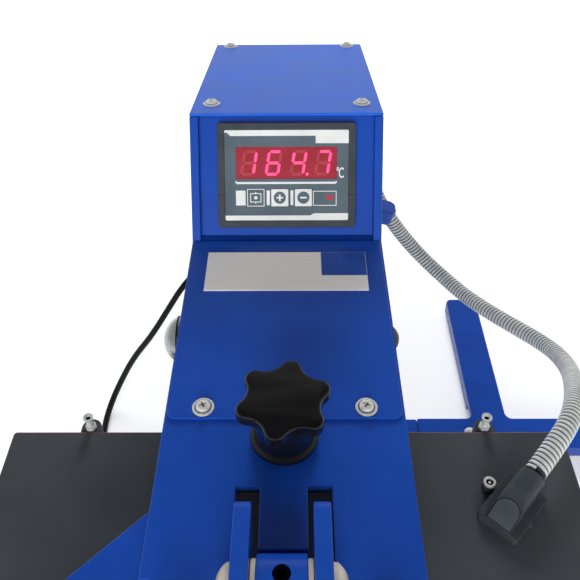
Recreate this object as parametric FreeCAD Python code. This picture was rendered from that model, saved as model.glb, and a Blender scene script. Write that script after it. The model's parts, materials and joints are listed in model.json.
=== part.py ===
import FreeCAD, Part
import math
import os

from FreeCAD import Placement, Rotation, Vector

os.makedirs("parts", exist_ok=True)

# Swing-away heat press, 380 x 380 mm platens, in millimetres.
# The origin is on the bench under the swing column; the operator stands at -Y.
# It is modelled closed, with the lever down and the heated platen on the pad.

# Clearances
running_gap = 0.05        # shaft in its bush, on the radius
loose_gap = 0.3           # parts that pass each other
closing_gap = 0.5         # heated platen above the silicone pad
seat_gap = 0.02           # pressed and turned parts of one body, on the radius

# Base
foot_height = 4.0
foot_radius = 15.0
bar_thickness = 16.0
base_top = foot_height + bar_thickness
spine_width = 140.0
spine_rear_y = 62.0
rear_bar_depth = 34.0
rear_bar_left_x = -96.0
rear_bar_right_x = 133.0
rear_bar_y = -138.0
front_bar_y = -600.0
front_bar_depth = 44.0
front_bar_length = 350.0
bar_corner_radius = 6.0
bench_hole_radius = 4.5
bench_hole_spacing_x = 160.0

# Outrigger under the swung-out head
outrigger_depth = 36.0
outrigger_end_x = 352.0
outrigger_lap = 66.0
strut_x = 210.0
strut_width = 36.0
strut_rear_y = 56.0
strut_fillet = 7.0

# Round-headed M8 screws of the base
screw_radius = 4.0
screw_head_radius = 6.5
screw_head_height = 4.4

# Column and swing bearing
column_radius = 35.0
column_flange_radius = 58.0
column_flange_thickness = 12.0
column_wall = 8.0
column_head_depth = 46.0
column_bolt_circle = 92.0
shoulder_below_beam = 127.0
pin_radius = 20.0
thrust_washer_thickness = 3.0
bush_wall = 4.0
bush_flange = 3.0
bush_length = 30.0
housing_wall = 9.0
housing_height = 96.0
cap_thickness = 5.0
stop_collar_radius = 53.0
stop_collar_height = 14.0
stop_pin_radius = 5.0
stop_pin_circle = 45.0
swing_angle = 100.0

# Lower platen
platen_size = 380.0
platen_y = -461.0
platen_corner_radius = 2.5
pedestal_height = 130.0
pedestal_plate = 8.0
pedestal_foot = 136.0
pedestal_tube = 90.0
pedestal_wall = 5.0
pedestal_head = 220.0
lower_platen_thickness = 12.0
pad_thickness = 8.0

# Heated platen
heater_plate_thickness = 16.0
cover_height = 36.0
cover_wall = 2.0
cover_fold_radius = 1.2
element_width = 9.0
element_height = 5.0
element_margin = 40.0
element_inside_stud = 42.0
element_outside_stud = 18.0
probe_length = 24.0
blanket_thickness = 14.0
blanket_margin = 12.0

# Head beam
beam_above_platen = 86.5
beam_width = 134.0
beam_depth = 51.0
cheek_thickness = 6.0
top_plate_thickness = 5.0
beam_front_y = -409.0
cheek_step_front_y = -252.0
cheek_step_rear_y = -70.0
cheek_rear_depth = 109.0
slot_rear_y = -361.0
slot_offset_x = 18.4
slot_width = 12.4
slot_corner_radius = 0.8
tongue_front_y = -394.5
bearing_plate_thickness = 8.0
bearing_plate_margin = 3.0

# Control box on the beam
panel_foot_y = -171.0
panel_length = 87.0
panel_lean = 35.5
panel_recess = 5.0
sheet = 2.0
lid_length = 200.8
lid_slope = 12.1
lid_screw_x = 53.4
lid_front_screw_inset = 21.0
lid_rear_screw_inset = 8.5

# Temperature controller, 96 x 72 mm front
bezel_width = 96.0
bezel_height = 72.0
bezel_depth = 6.5
bezel_rim = 5.0
bezel_radius = 2.5
bezel_above_middle = 3.2
case_width = 91.0
case_height = 67.0
case_depth = 58.0
panel_cutout_gap = 0.5
bezel_ledge = 2.0
face_recess = 0.8
face_thickness = 2.0
window_width = 70.4
window_height = 22.0
window_centre_y = 8.7
window_relief = 0.6
key_size = 12.2
key_row_y = -15.2
key_depth = 3.5
key_corner_radius = 0.8
key_proud = 0.3
key_offsets = {"key_set": -21.6, "key_plus": -4.8, "key_minus": 11.7}

# Mains switch on the back panel
switch_x = 32.0
switch_below_beam = 30.0
switch_width = 20.0
switch_height = 34.0
switch_depth = 20.0
rocker_width = 13.0
rocker_radius = 12.0
rocker_tilt = 8.0
rocker_crest = 4.0

# Cover sheet and nameplate
cover_front_y = -321.0
cover_side_gap = 1.5
cover_corner_radius = 5.0
cover_screw_x = 45.5
cover_screw_y = -314.0
cover_screw_flange = 6.2
flanged_screw_radius = 2.5
nameplate_width = 108.0
nameplate_height = 37.0
nameplate_centre_y = -203.0
nameplate_thickness = 0.8

# Lever
shaft_y = -415.5
shaft_above_beam = 11.0
shaft_radius = 7.0
hub_radius = 13.0
hub_half_width = 11.5
washer_thickness = 2.5
washer_radius = 11.0
arm_thickness = 8.0
arm_side_gap = 0.25
shaft_boss_radius = 19.0
shaft_cap_radius = 9.5
shaft_cap_length = 7.0
crank_radius = 33.0
lever_travel = 60.0
load_pin_radius = 6.0
load_boss_radius = 13.0
tail_reach = 26.5
tail_rise = 12.5
tail_radius = 6.0
handle_y = -706.0
handle_above_beam = -10.0
handle_boss_radius = 16.0
handle_radius = 10.0
handle_length = 250.0
grip_radius = 15.5
grip_gap = 29.0
knee_reach = 142.0
knee_rise = 4.0
knee_radius = 12.0

# Pressure arm, spindle and star knob
rear_bolt_y = -246.0
rear_bolt_below = 18.0
rear_bolt_radius = 6.0
rear_bolt_dome_radius = 17.0
rear_bolt_dome_height = 10.0
rear_washer_radius = 14.5
rear_washer_height = 2.5
rear_cap_radius = 9.5
rear_cap_height = 6.0
arm_bar_low = 44.5
arm_bar_high = 29.0
arm_rear_radius = 12.0
pressure_block_height = 15.5
pressure_block_rear_y = -320.0
pressure_block_front_y = -354.0
front_bolt_y = -344.0
front_bolt_below = 13.5
front_bolt_radius = 4.0
front_bolt_head_radius = 5.5
front_bolt_head_height = 2.0
knob_y = -333.0
spindle_radius = 6.0
pad_height = 4.0
pad_radius = 9.0
knob_base_height = 2.5
knob_radius = 25.0
knob_height = 36.0
knob_flare_radius = 18.5
knob_flare_height = 3.5
knob_hub_radius = 15.5
knob_hub_height = 23.5
knob_lobe_radius = 5.5
knob_valley_radius = 11.0
knob_lobes = 6
knob_first_lobe = 78.9
knob_chamfer = 1.2

# Platen yoke and guides
yoke_half_width = 10.0
yoke_base_width = 172.0
yoke_base_thickness = 8.0
yoke_base_rear_y = -418.0
yoke_base_front_y = -512.0
yoke_rear_wall = 4.6
yoke_front_y = -478.0
yoke_pin_gap = 0.6
yoke_crown = 12.0
guide_x = 46.5
guide_y = -438.0
guide_rod_radius = 7.0
guide_rod_height = 112.0
guide_bush_wall = 3.0
guide_lug_half_width = 14.5
guide_lug_front_y = -456.0
guide_lug_above_yoke = 2.5
stud_x = 72.0
stud_rear_y = -434.0
stud_front_y = -496.0
stud_radius = 5.0

# Swing grip on the left
bracket_thickness = 6.0
bracket_rear_y = -351.5
bracket_below_beam = 31.0
bracket_grip_y = -462.0
bracket_grip_round = 22.0
grip_post_radius = 5.0
swing_grip_radius = 15.0
swing_grip_height = 96.0
grip_socket_depth = 24.0

# Fittings on the heated platen
edge_screw_x = 137.0
edge_lug_radius = 6.8
edge_lug_overhang = 4.2
edge_lug_thickness = 8.0
edge_screw_radius = 2.5
edge_head_radius = 3.6
edge_head_height = 2.5
edge_nut_radius = 4.1
edge_nut_height = 3.5
edge_stand = 9.0
earth_x = 130.0
earth_y = -314.0
earth_bush_radius = 4.1
earth_bush_height = 6.5
earth_screw_radius = 2.5
earth_head_height = 2.5
connector_front_x = 128.5
connector_front_y = -343.5
connector_turn = 47.0
connector_width = 28.0
connector_length = 38.0
connector_base_height = 7.0
hood_width = 17.2
hood_length = 30.0
hood_skirt_height = 8.5
hood_front_height = 0.8
hood_slope = 0.8
hood_neck_radius = 8.6
hood_neck_length = 34.0

# Armoured conduit, from the head to the platen connector
conduit_diameter = 14.0
conduit_bore = 10.0
elbow_width = 15.0
elbow_length = 20.0
elbow_depth = 20.0
elbow_collar = 8.0
conduit_lug_reach = 28.5
conduit_lug_droop = 18.0
conduit_lug_front_y = -53.0
conduit_lug_rear_y = -35.0
conduit_lug_low = 228.0
conduit_lug_high = 243.0
conduit_lug_round = 6.0
conduit_rib_pitch = 9.6
conduit_groove_depth = 0.7
conduit_points = [
    (75.5, -11.5, 277.0),
    (75.5, -11.5, 261.0),
    (77.5, -13.5, 247.0),
    (84.5, -17.5, 230.5),
    (95.5, -22.0, 213.5),
    (110.5, -26.5, 193.0),
    (129.0, -35.0, 174.5),
    (148.5, -51.0, 163.0),
    (166.5, -76.0, 161.0),
    (182.5, -103.0, 167.0),
    (199.0, -127.0, 173.0),
    (214.0, -147.5, 178.0),
    (222.5, -169.0, 186.0),
    (222.0, -193.0, 198.5),
    (215.0, -217.5, 214.0),
    (205.0, -241.0, 230.0),
    (196.0, -261.5, 241.5),
    (185.5, -280.5, 246.5),
    (171.0, -298.0, 244.7),
    (154.3, -315.9, 240.5),
]

# Mains lead
cord_diameter = 6.6
cord_points = [
    (-48.0, 47.0, 160.0),
    (-48.0, 47.0, 136.0),
    (-60.0, 38.0, 118.0),
    (-78.0, 25.0, 112.0),
    (-100.0, 12.0, 114.0),
    (-118.0, -6.0, 104.0),
    (-137.0, -23.0, 85.0),
    (-156.0, -39.0, 64.0),
    (-173.0, -55.0, 43.0),
    (-187.0, -71.0, 24.0),
    (-197.5, -91.0, 9.0),
    (-201.0, -117.0, 3.4),
    (-197.0, -152.0, 3.4),
    (-197.0, -192.0, 3.4),
]
coil_half_turns = 10
coil_inward_half_turns = 5
coil_first_radius = 45.0
coil_gap = 0.6
coil_tail_bend = 42.0
plug_body_radius = 19.0
plug_body_length = 42.0
plug_relief_length = 24.0
plug_pin_radius = 2.4
plug_pin_length = 19.0
plug_pin_spacing = 19.0


def box(x0, x1, y0, y1, z0, z1):
    return Part.makeBox(x1 - x0, y1 - y0, z1 - z0, Vector(x0, y0, z0))


def rod(start, end, radius):
    start = Vector(*start)
    axis = Vector(*end) - start
    return Part.makeCylinder(radius, axis.Length, start, axis)


def upright(x, y, z0, z1, radius):
    return rod((x, y, z0), (x, y, z1), radius)


def crosswise(x0, x1, y, z, radius):
    return rod((x0, y, z), (x1, y, z), radius)


def join(shapes):
    shapes = list(shapes)
    return shapes[0].multiFuse(shapes[1:]).removeSplitter()


def save(name, shapes):
    if not isinstance(shapes, list):
        shapes = [shapes]
    solids = [solid for shape in shapes for solid in shape.Solids]
    part = solids[0] if len(solids) == 1 else Part.makeCompound(solids)
    part.exportStep("parts/" + name + ".step")


def rounded_wire(corners, place):
    """A closed outline of (u, v, radius) corners, rounded by arcs."""
    edges = []
    first = None
    last = None
    count = len(corners)
    for index, (u, v, radius) in enumerate(corners):
        corner = Vector(u, v, 0)
        before = Vector(*corners[index - 1][:2], 0) - corner
        after = Vector(*corners[(index + 1) % count][:2], 0) - corner
        before.normalize()
        after.normalize()
        half = before.getAngle(after) / 2
        cut = radius / math.tan(half)
        start = corner + before * cut
        end = corner + after * cut
        if last is not None and (start - last).Length > 1e-6:
            edges.append(Part.LineSegment(place(last), place(start)).toShape())
        if radius > 0:
            middle_line = before + after
            middle_line.normalize()
            middle = corner + middle_line * (radius / math.sin(half) - radius)
            edges.append(Part.Arc(place(start), place(middle), place(end)).toShape())
        if first is None:
            first = start
        last = end
    if (first - last).Length > 1e-6:
        edges.append(Part.LineSegment(place(last), place(first)).toShape())
    return Part.Wire(edges)


def flat_plate(corners, z0, z1):
    """A plate lying flat, from an outline in X and Y."""
    wire = rounded_wire(corners, lambda point: Vector(point.x, point.y, z0))
    return Part.Face(wire).extrude(Vector(0, 0, z1 - z0))


def side_plate(corners, x0, x1):
    """A plate standing along the beam, from an outline in Y and Z."""
    wire = rounded_wire(corners, lambda point: Vector(x0, point.x, point.y))
    return Part.Face(wire).extrude(Vector(x1 - x0, 0, 0))


def rectangle(x0, x1, y0, y1, radius):
    return [(x0, y0, radius), (x1, y0, radius), (x1, y1, radius), (x0, y1, radius)]


def strap(centre_a, radius_a, centre_b, radius_b, x0, x1):
    """A bar between two round bosses, with straight sides tangent to both."""
    a = Vector(x0, *centre_a)
    b = Vector(x0, *centre_b)
    along = b - a
    lean = math.acos((radius_a - radius_b) / along.Length)
    along.normalize()
    sides = []
    for sign in (1, -1):
        turn = Rotation(Vector(1, 0, 0), sign * math.degrees(lean))
        normal = turn.multVec(along)
        sides.append((a + normal * radius_a, b + normal * radius_b))
    (a1, b1), (a2, b2) = sides
    edges = [
        Part.LineSegment(a1, b1).toShape(),
        Part.Arc(b1, b + along * radius_b, b2).toShape(),
        Part.LineSegment(b2, a2).toShape(),
        Part.Arc(a2, a - along * radius_a, a1).toShape(),
    ]
    return Part.Face(Part.Wire(edges)).extrude(Vector(x1 - x0, 0, 0))


def hexagon(x, y, z0, z1, across_flats):
    """A hexagon bolt head or nut, standing upright."""
    radius = across_flats / math.sqrt(3)
    corners = []
    for index in range(6):
        angle = math.radians(60 * index)
        corners.append(Vector(x + radius * math.cos(angle), y + radius * math.sin(angle), z0))
    return Part.Face(Part.makePolygon(corners + corners[:1])).extrude(Vector(0, 0, z1 - z0))


def turned(profile, x, y):
    """A turned part about a vertical axis, from (radius, height) points."""
    points = [Vector(x + radius, y, z) for radius, z in profile]
    face = Part.Face(Part.makePolygon(points + points[:1]))
    return face.revolve(Vector(x, y, 0), Vector(0, 0, 1), 360)


def dome_head(radius, height):
    """A round head of spherical cap form, standing on the XY plane."""
    ball = (radius ** 2 + height ** 2) / (2 * height)
    rim = math.degrees(math.asin((ball - height) / ball))
    return Part.makeSphere(ball, Vector(0, 0, height - ball), Vector(0, 0, 1), rim, 90)


def button_screw(x, y, head_z, end_z):
    """A round-headed M8 screw; its head stands on head_z towards +Z or -Z."""
    up = 1 if head_z > end_z else -1
    turn = Rotation() if up > 0 else Rotation(Vector(1, 0, 0), 180)
    head = moved(dome_head(screw_head_radius, screw_head_height), Placement(Vector(x, y, head_z), turn))
    return join([head, upright(x, y, min(head_z, end_z), max(head_z, end_z), screw_radius)])


def flanged_screw(flange_radius, shank_radius, shank_length):
    """A button head on a thin round flange, head up, seated on the XY plane."""
    flange = upright(0, 0, 0, 1.2, flange_radius)
    head = dome_head(flange_radius * 0.7, 2.4)
    head.translate(Vector(0, 0, 1.2))
    shank = upright(0, 0, -shank_length, 0, shank_radius)
    return join([flange, head, shank])


def moved(shape, placement):
    copy = shape.copy()
    copy.Placement = placement.multiply(copy.Placement)
    return copy


def soft_route(points):
    """Straight runs joined by tangent arcs as large as the runs allow."""
    points = [Vector(*point) for point in points]
    edges = []
    radii = []
    last = points[0]
    for before, corner, after in zip(points, points[1:], points[2:]):
        back = before - corner
        ahead = after - corner
        shorter = min(back.Length, ahead.Length)
        turn = math.pi - back.getAngle(ahead)
        cut = 0.45 * shorter
        radii.append(cut / math.tan(turn / 2))
        back.normalize()
        ahead.normalize()
        start = corner + back * cut
        end = corner + ahead * cut
        inward = back + ahead
        inward.normalize()
        depth = radii[-1] / math.cos(turn / 2) - radii[-1]
        edges.append(Part.LineSegment(last, start).toShape())
        edges.append(Part.Arc(start, corner + inward * depth, end).toShape())
        last = end
    edges.append(Part.LineSegment(last, points[-1]).toShape())
    return edges, radii


def tube_along(edges, radius):
    wire = Part.Wire(edges)
    start = wire.Edges[0]
    circle = Part.Circle(start.valueAt(start.FirstParameter), start.tangentAt(start.FirstParameter), radius)
    return wire.makePipeShell([Part.Wire(circle.toShape())], True, False)


# Heights that stack up from the bench
pedestal_top = base_top + pedestal_height
pad_top = pedestal_top + lower_platen_thickness + pad_thickness
heater_bottom = pad_top + closing_gap
heater_top = heater_bottom + heater_plate_thickness
platen_top = heater_top + cover_height
beam_top = platen_top + beam_above_platen
beam_bottom = beam_top - beam_depth
top_plate_low = beam_top - top_plate_thickness
cheek_low = beam_top - cheek_rear_depth
shoulder_z = beam_top - shoulder_below_beam
bush_low = shoulder_z + thrust_washer_thickness
housing_low = bush_low + bush_flange
housing_top = housing_low + housing_height
yoke_base_top = platen_top + yoke_base_thickness

# Lever geometry, with the crank swinging evenly about the level
shaft_z = beam_top + shaft_above_beam
crank_tilt = math.radians(lever_travel / 2)
load_pin_y = shaft_y - crank_radius * math.cos(crank_tilt)
load_pin_z = shaft_z - crank_radius * math.sin(crank_tilt)
platen_lift = 2 * crank_radius * math.sin(crank_tilt)
handle_z = beam_top + handle_above_beam
grip_length = handle_length / 2 - grip_gap

# Widths across the beam
beam_half = beam_width / 2
cheek_inside = beam_half - cheek_thickness
arm_inside = hub_half_width + washer_thickness + arm_side_gap
arm_outside = arm_inside + arm_thickness
rear_bolt_z = beam_top - rear_bolt_below
front_bolt_z = beam_top - front_bolt_below
bush_outer = pin_radius + running_gap + bush_wall
guide_bush_outer = guide_rod_radius + running_gap + guide_bush_wall
lug_low = yoke_base_top + platen_lift + guide_lug_above_yoke

# Control box corners and the frames of its sloping faces
lean = math.radians(panel_lean)
slope = math.radians(lid_slope)
panel_top_y = panel_foot_y + panel_length * math.sin(lean)
panel_top_z = beam_top + panel_length * math.cos(lean)
box_rear_y = panel_top_y + lid_length * math.cos(slope)
box_rear_z = panel_top_z - lid_length * math.sin(slope)
panel_place = Placement(Vector(0, panel_foot_y, beam_top), Rotation(Vector(1, 0, 0), 90 - panel_lean))
lid_place = Placement(Vector(0, panel_top_y, panel_top_z), Rotation(Vector(1, 0, 0), -lid_slope))
lid_screw_places = [
    (side * lid_screw_x, y)
    for side in (-1, 1)
    for y in (lid_front_screw_inset, lid_length - lid_rear_screw_inset)
]
face_centre_y = panel_length / 2 + bezel_above_middle
face_front = -panel_recess + bezel_depth - face_recess


def make_base():
    rear_bar = (rear_bar_y - rear_bar_depth / 2, rear_bar_y + rear_bar_depth / 2)
    front_y = front_bar_y
    corner = bar_corner_radius
    spine_front = front_y - front_bar_depth / 2
    spine = flat_plate(
        rectangle(-spine_width / 2, spine_width / 2, spine_front, spine_rear_y, corner), foot_height, base_top
    )
    front = flat_plate(
        rectangle(
            -front_bar_length / 2, front_bar_length / 2,
            spine_front, front_y + front_bar_depth / 2, corner,
        ),
        foot_height, base_top,
    )
    rear = flat_plate(
        [
            (rear_bar_left_x, rear_bar[0], corner), (rear_bar_right_x, rear_bar[0], 0),
            (rear_bar_right_x, rear_bar[1], 0), (rear_bar_left_x, rear_bar[1], corner),
        ],
        foot_height, base_top,
    )
    lap_z = foot_height + bar_thickness / 2
    tongue = box(
        rear_bar_right_x, rear_bar_right_x + outrigger_lap,
        rear_bar[0] + 3, rear_bar[1] - 3, foot_height, lap_z,
    )
    frame = join([spine, front, rear, tongue])
    for x in (-bench_hole_spacing_x / 2, bench_hole_spacing_x / 2):
        for y in (front_y, rear_bar_y):
            frame = frame.cut(upright(x, y, 0, base_top + 1, bench_hole_radius))

    end = outrigger_end_x
    half = outrigger_depth / 2
    start = rear_bar_right_x + loose_gap
    bar = flat_plate(
        [
            (start, rear_bar_y - half, 0), (end, rear_bar_y - half, corner),
            (end, rear_bar_y + half, corner),
            (strut_x + strut_width / 2, rear_bar_y + half, strut_fillet),
            (strut_x + strut_width / 2, strut_rear_y, corner),
            (strut_x - strut_width / 2, strut_rear_y, corner),
            (strut_x - strut_width / 2, rear_bar_y + half, strut_fillet),
            (start, rear_bar_y + half, 3),
        ],
        foot_height, base_top,
    )
    lap_end = rear_bar_right_x + outrigger_lap + loose_gap
    outrigger = bar.cut(box(start - 1, lap_end, rear_bar_y - 40, rear_bar_y + 40, 0, lap_z))
    screw_places = [(rear_bar_right_x + 54, rear_bar_y), (rear_bar_right_x + 27, rear_bar_y - 7)]
    screws = []
    for x, y in screw_places:
        hole = upright(x, y, 0, base_top + 1, screw_radius + seat_gap)
        outrigger = outrigger.cut(hole)
        frame = frame.cut(hole)
        screws.append(button_screw(x, y, base_top, foot_height))

    foot_places = [
        (0, 0), (-front_bar_length / 2 + 22, front_y), (front_bar_length / 2 - 22, front_y),
        (end - 22, rear_bar_y), (strut_x, strut_rear_y - 20),
    ]
    feet = []
    for x, y in foot_places:
        feet.append(upright(x, y, 0, foot_height, foot_radius))
    save("base_frame", frame)
    save("outrigger", outrigger)
    save("rubber_feet", feet)
    return screws


def make_column():
    flange_top = base_top + column_flange_thickness
    head_low = shoulder_z - column_head_depth
    bore = column_radius - column_wall
    pin_hole = pin_radius + seat_gap
    column = turned(
        [
            (bore, base_top), (column_flange_radius, base_top),
            (column_flange_radius, flange_top - 2), (column_flange_radius - 2, flange_top),
            (column_radius + 4, flange_top), (column_radius, flange_top + 4),
            (column_radius, shoulder_z - stop_collar_height),
            (stop_collar_radius - 1, shoulder_z - stop_collar_height),
            (stop_collar_radius, shoulder_z - stop_collar_height + 1),
            (stop_collar_radius, shoulder_z - 1), (stop_collar_radius - 1, shoulder_z),
            (pin_hole, shoulder_z), (pin_hole, head_low), (bore, head_low),
        ],
        0, 0,
    )
    notch_low = shoulder_z - stop_collar_height - 1
    spread = math.degrees(math.asin((stop_pin_radius + loose_gap) / stop_pin_circle))
    notch_inner = column_radius + 3
    sector = Part.makeCylinder(
        stop_collar_radius + 1, stop_collar_height + 2,
        Vector(0, 0, notch_low), Vector(0, 0, 1), swing_angle + 2 * spread,
    )
    sector.rotate(Vector(0, 0, 0), Vector(0, 0, 1), 90 - spread)
    sector = sector.cut(upright(0, 0, notch_low - 1, shoulder_z + 2, notch_inner))
    column = column.cut(sector)
    bolts = []
    for index in range(4):
        angle = math.radians(45 + 90 * index)
        x = column_bolt_circle / 2 * math.cos(angle)
        y = column_bolt_circle / 2 * math.sin(angle)
        column = column.cut(upright(x, y, base_top - 1, flange_top + 1, screw_radius + seat_gap))
        bolts.append(button_screw(x, y, flange_top, base_top))

    cap_low = housing_top + bush_flange + loose_gap
    cap_top = cap_low + cap_thickness
    pin = join([
        upright(0, 0, head_low + 2, cap_low, pin_radius),
        turned([
            (0, cap_low), (pin_radius + 8, cap_low), (pin_radius + 8, cap_top - 1.5),
            (pin_radius + 6.5, cap_top), (0, cap_top),
        ], 0, 0),
    ])
    washer = upright(0, 0, shoulder_z, bush_low, column_radius - 2)
    washer = washer.cut(upright(0, 0, shoulder_z - 1, bush_low + 1, pin_radius + loose_gap))

    bushes = []
    inner = pin_radius + running_gap
    flange = bush_outer + 6
    lower_top = housing_low + bush_length
    upper_low = housing_top - bush_length
    upper_top = housing_top + bush_flange
    bushes.append(turned([
        (inner, bush_low), (flange, bush_low), (flange, housing_low),
        (bush_outer, housing_low), (bush_outer, lower_top), (inner, lower_top),
    ], 0, 0))
    bushes.append(turned([
        (inner, upper_low), (bush_outer, upper_low), (bush_outer, housing_top),
        (flange, housing_top), (flange, upper_top), (inner, upper_top),
    ], 0, 0))
    save("column", column)
    save("swing_pin", pin)
    return bolts, bushes + [washer]


def make_lower_platen():
    foot_top = base_top + pedestal_plate
    head_low = pedestal_top - pedestal_plate
    half_foot = pedestal_foot / 2
    half_head = pedestal_head / 2
    half_tube = pedestal_tube / 2
    foot = flat_plate(
        rectangle(-half_foot, half_foot, platen_y - half_foot, platen_y + half_foot, 8), base_top, foot_top
    )
    head = flat_plate(
        rectangle(-half_head, half_head, platen_y - half_head, platen_y + half_head, 12),
        head_low, pedestal_top,
    )
    tube = flat_plate(
        rectangle(-half_tube, half_tube, platen_y - half_tube, platen_y + half_tube, 8), foot_top, head_low
    )
    inside = half_tube - pedestal_wall
    hollow = flat_plate(
        rectangle(-inside, inside, platen_y - inside, platen_y + inside, 3), foot_top, head_low
    )
    pedestal = join([foot, head, tube.cut(hollow)])
    half = platen_size / 2
    outline = rectangle(-half, half, platen_y - half, platen_y + half, platen_corner_radius)
    plate_top = pedestal_top + lower_platen_thickness
    plate = flat_plate(outline, pedestal_top, plate_top)
    screws = []
    for x in (-1, 1):
        for y in (-1, 1):
            foot_x = x * (half_foot - 11)
            foot_y = platen_y + y * (half_foot - 11)
            hole = screw_radius + seat_gap
            pedestal = pedestal.cut(upright(foot_x, foot_y, base_top - 1, foot_top + 1, hole))
            screws.append(button_screw(foot_x, foot_y, foot_top, base_top))
            bolt_x = x * (half_head - 18)
            bolt_y = platen_y + y * (half_head - 18)
            bolt_end = plate_top - 3
            pedestal = pedestal.cut(upright(bolt_x, bolt_y, head_low - 1, pedestal_top + 1, hole))
            plate = plate.cut(upright(bolt_x, bolt_y, pedestal_top - 1, bolt_end, hole))
            screws.append(button_screw(bolt_x, bolt_y, head_low, bolt_end))
    save("platen_pedestal", pedestal)
    save("lower_platen", plate)
    save("silicone_pad", flat_plate(outline, plate_top, pad_top))
    return screws


def make_head():
    outline = [
        (beam_front_y, beam_bottom, 6), (cheek_step_front_y, beam_bottom, 30),
        (cheek_step_rear_y, cheek_low, 30), (box_rear_y, cheek_low, 5),
        (box_rear_y, box_rear_z, 0), (panel_top_y, panel_top_z, 0),
        (panel_foot_y, beam_top, 0), (beam_front_y, beam_top, 0),
    ]
    pieces = [
        side_plate(outline, -beam_half, -cheek_inside),
        side_plate(outline, cheek_inside, beam_half),
        box(-beam_half, beam_half, beam_front_y, panel_foot_y + 13, top_plate_low, beam_top),
    ]
    reach = bush_outer + housing_wall + bearing_plate_margin
    pieces.append(box(
        -cheek_inside, cheek_inside, -reach, box_rear_y - sheet,
        cheek_low, cheek_low + bearing_plate_thickness,
    ))
    pieces.append(box(
        -cheek_inside, cheek_inside, -reach, reach, housing_top - bearing_plate_thickness, housing_top
    ))
    pieces.append(upright(0, 0, housing_low, housing_top, bush_outer + housing_wall))
    for side in (-1, 1):
        inner = side * (guide_x - guide_lug_half_width)
        outer = side * cheek_inside
        pieces.append(box(
            min(inner, outer), max(inner, outer), guide_lug_front_y, beam_front_y + 9, lug_low, beam_top
        ))
    for x, y in lid_screw_places:
        inner = abs(x) - 7
        x0, x1 = (inner, cheek_inside) if x > 0 else (-cheek_inside, -inner)
        pieces.append(moved(box(x0, x1, y - 6, y + 6, -4, 0), lid_place))
    beam = join(pieces)

    bore = bush_outer + seat_gap
    cuts = [
        upright(0, 0, cheek_low - 20, housing_top + 1, bore),
        crosswise(-beam_half - 1, beam_half + 1, rear_bolt_y, rear_bolt_z, rear_bolt_radius + seat_gap),
        crosswise(-beam_half - 1, beam_half + 1, front_bolt_y, front_bolt_z, front_bolt_radius + seat_gap),
        upright(0, knob_y, top_plate_low - 1, beam_top + 1, spindle_radius + 0.5),
        upright(cord_points[0][0], cord_points[0][1], cheek_low - 1,
                cheek_low + bearing_plate_thickness + 1, 6 + seat_gap),
    ]
    for side in (-1, 1):
        slot_left = side * slot_offset_x - slot_width / 2
        slot_outline = rectangle(
            slot_left, slot_left + slot_width, guide_lug_front_y - 9, slot_rear_y, slot_corner_radius
        )
        cuts.append(flat_plate(slot_outline, top_plate_low - 1, beam_top + 1))
        cuts.append(upright(side * guide_x, guide_y, lug_low - 1, beam_top + 1, guide_bush_outer + seat_gap))
        cuts.append(upright(
            side * cover_screw_x, cover_screw_y, top_plate_low - 1, beam_top + 1,
            flanged_screw_radius + seat_gap,
        ))
    cuts.append(box(
        -slot_offset_x, slot_offset_x, guide_lug_front_y, tongue_front_y, top_plate_low - 1, beam_top + 1
    ))
    for x, y in lid_screw_places:
        cuts.append(moved(upright(x, y, -9, 1, flanged_screw_radius + seat_gap), lid_place))
    beam = beam.cut(Part.makeCompound(cuts))
    beam = join([beam, upright(
        0, stop_pin_circle, shoulder_z - stop_collar_height + 3, cheek_low, stop_pin_radius
    )])
    bushes = []
    for side in (-1, 1):
        sleeve = upright(side * guide_x, guide_y, lug_low, beam_top, guide_bush_outer)
        bushes.append(sleeve.cut(upright(
            side * guide_x, guide_y, lug_low - 1, beam_top + 1, guide_rod_radius + running_gap
        )))
    save("head_beam", beam)
    return bushes


def panel_block(half_x, y0, y1, z0, z1, radius):
    corners = rectangle(-half_x, half_x, y0, y1, radius)
    return moved(flat_plate(corners, z0, z1), panel_place)


def face_block(width, height, centre_x, centre_y, z0, z1, radius):
    """A rounded block on the controller, placed from the middle of its face."""
    y = face_centre_y + centre_y
    corners = rectangle(centre_x - width / 2, centre_x + width / 2, y - height / 2, y + height / 2, radius)
    return moved(flat_plate(corners, z0, z1), panel_place)


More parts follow.
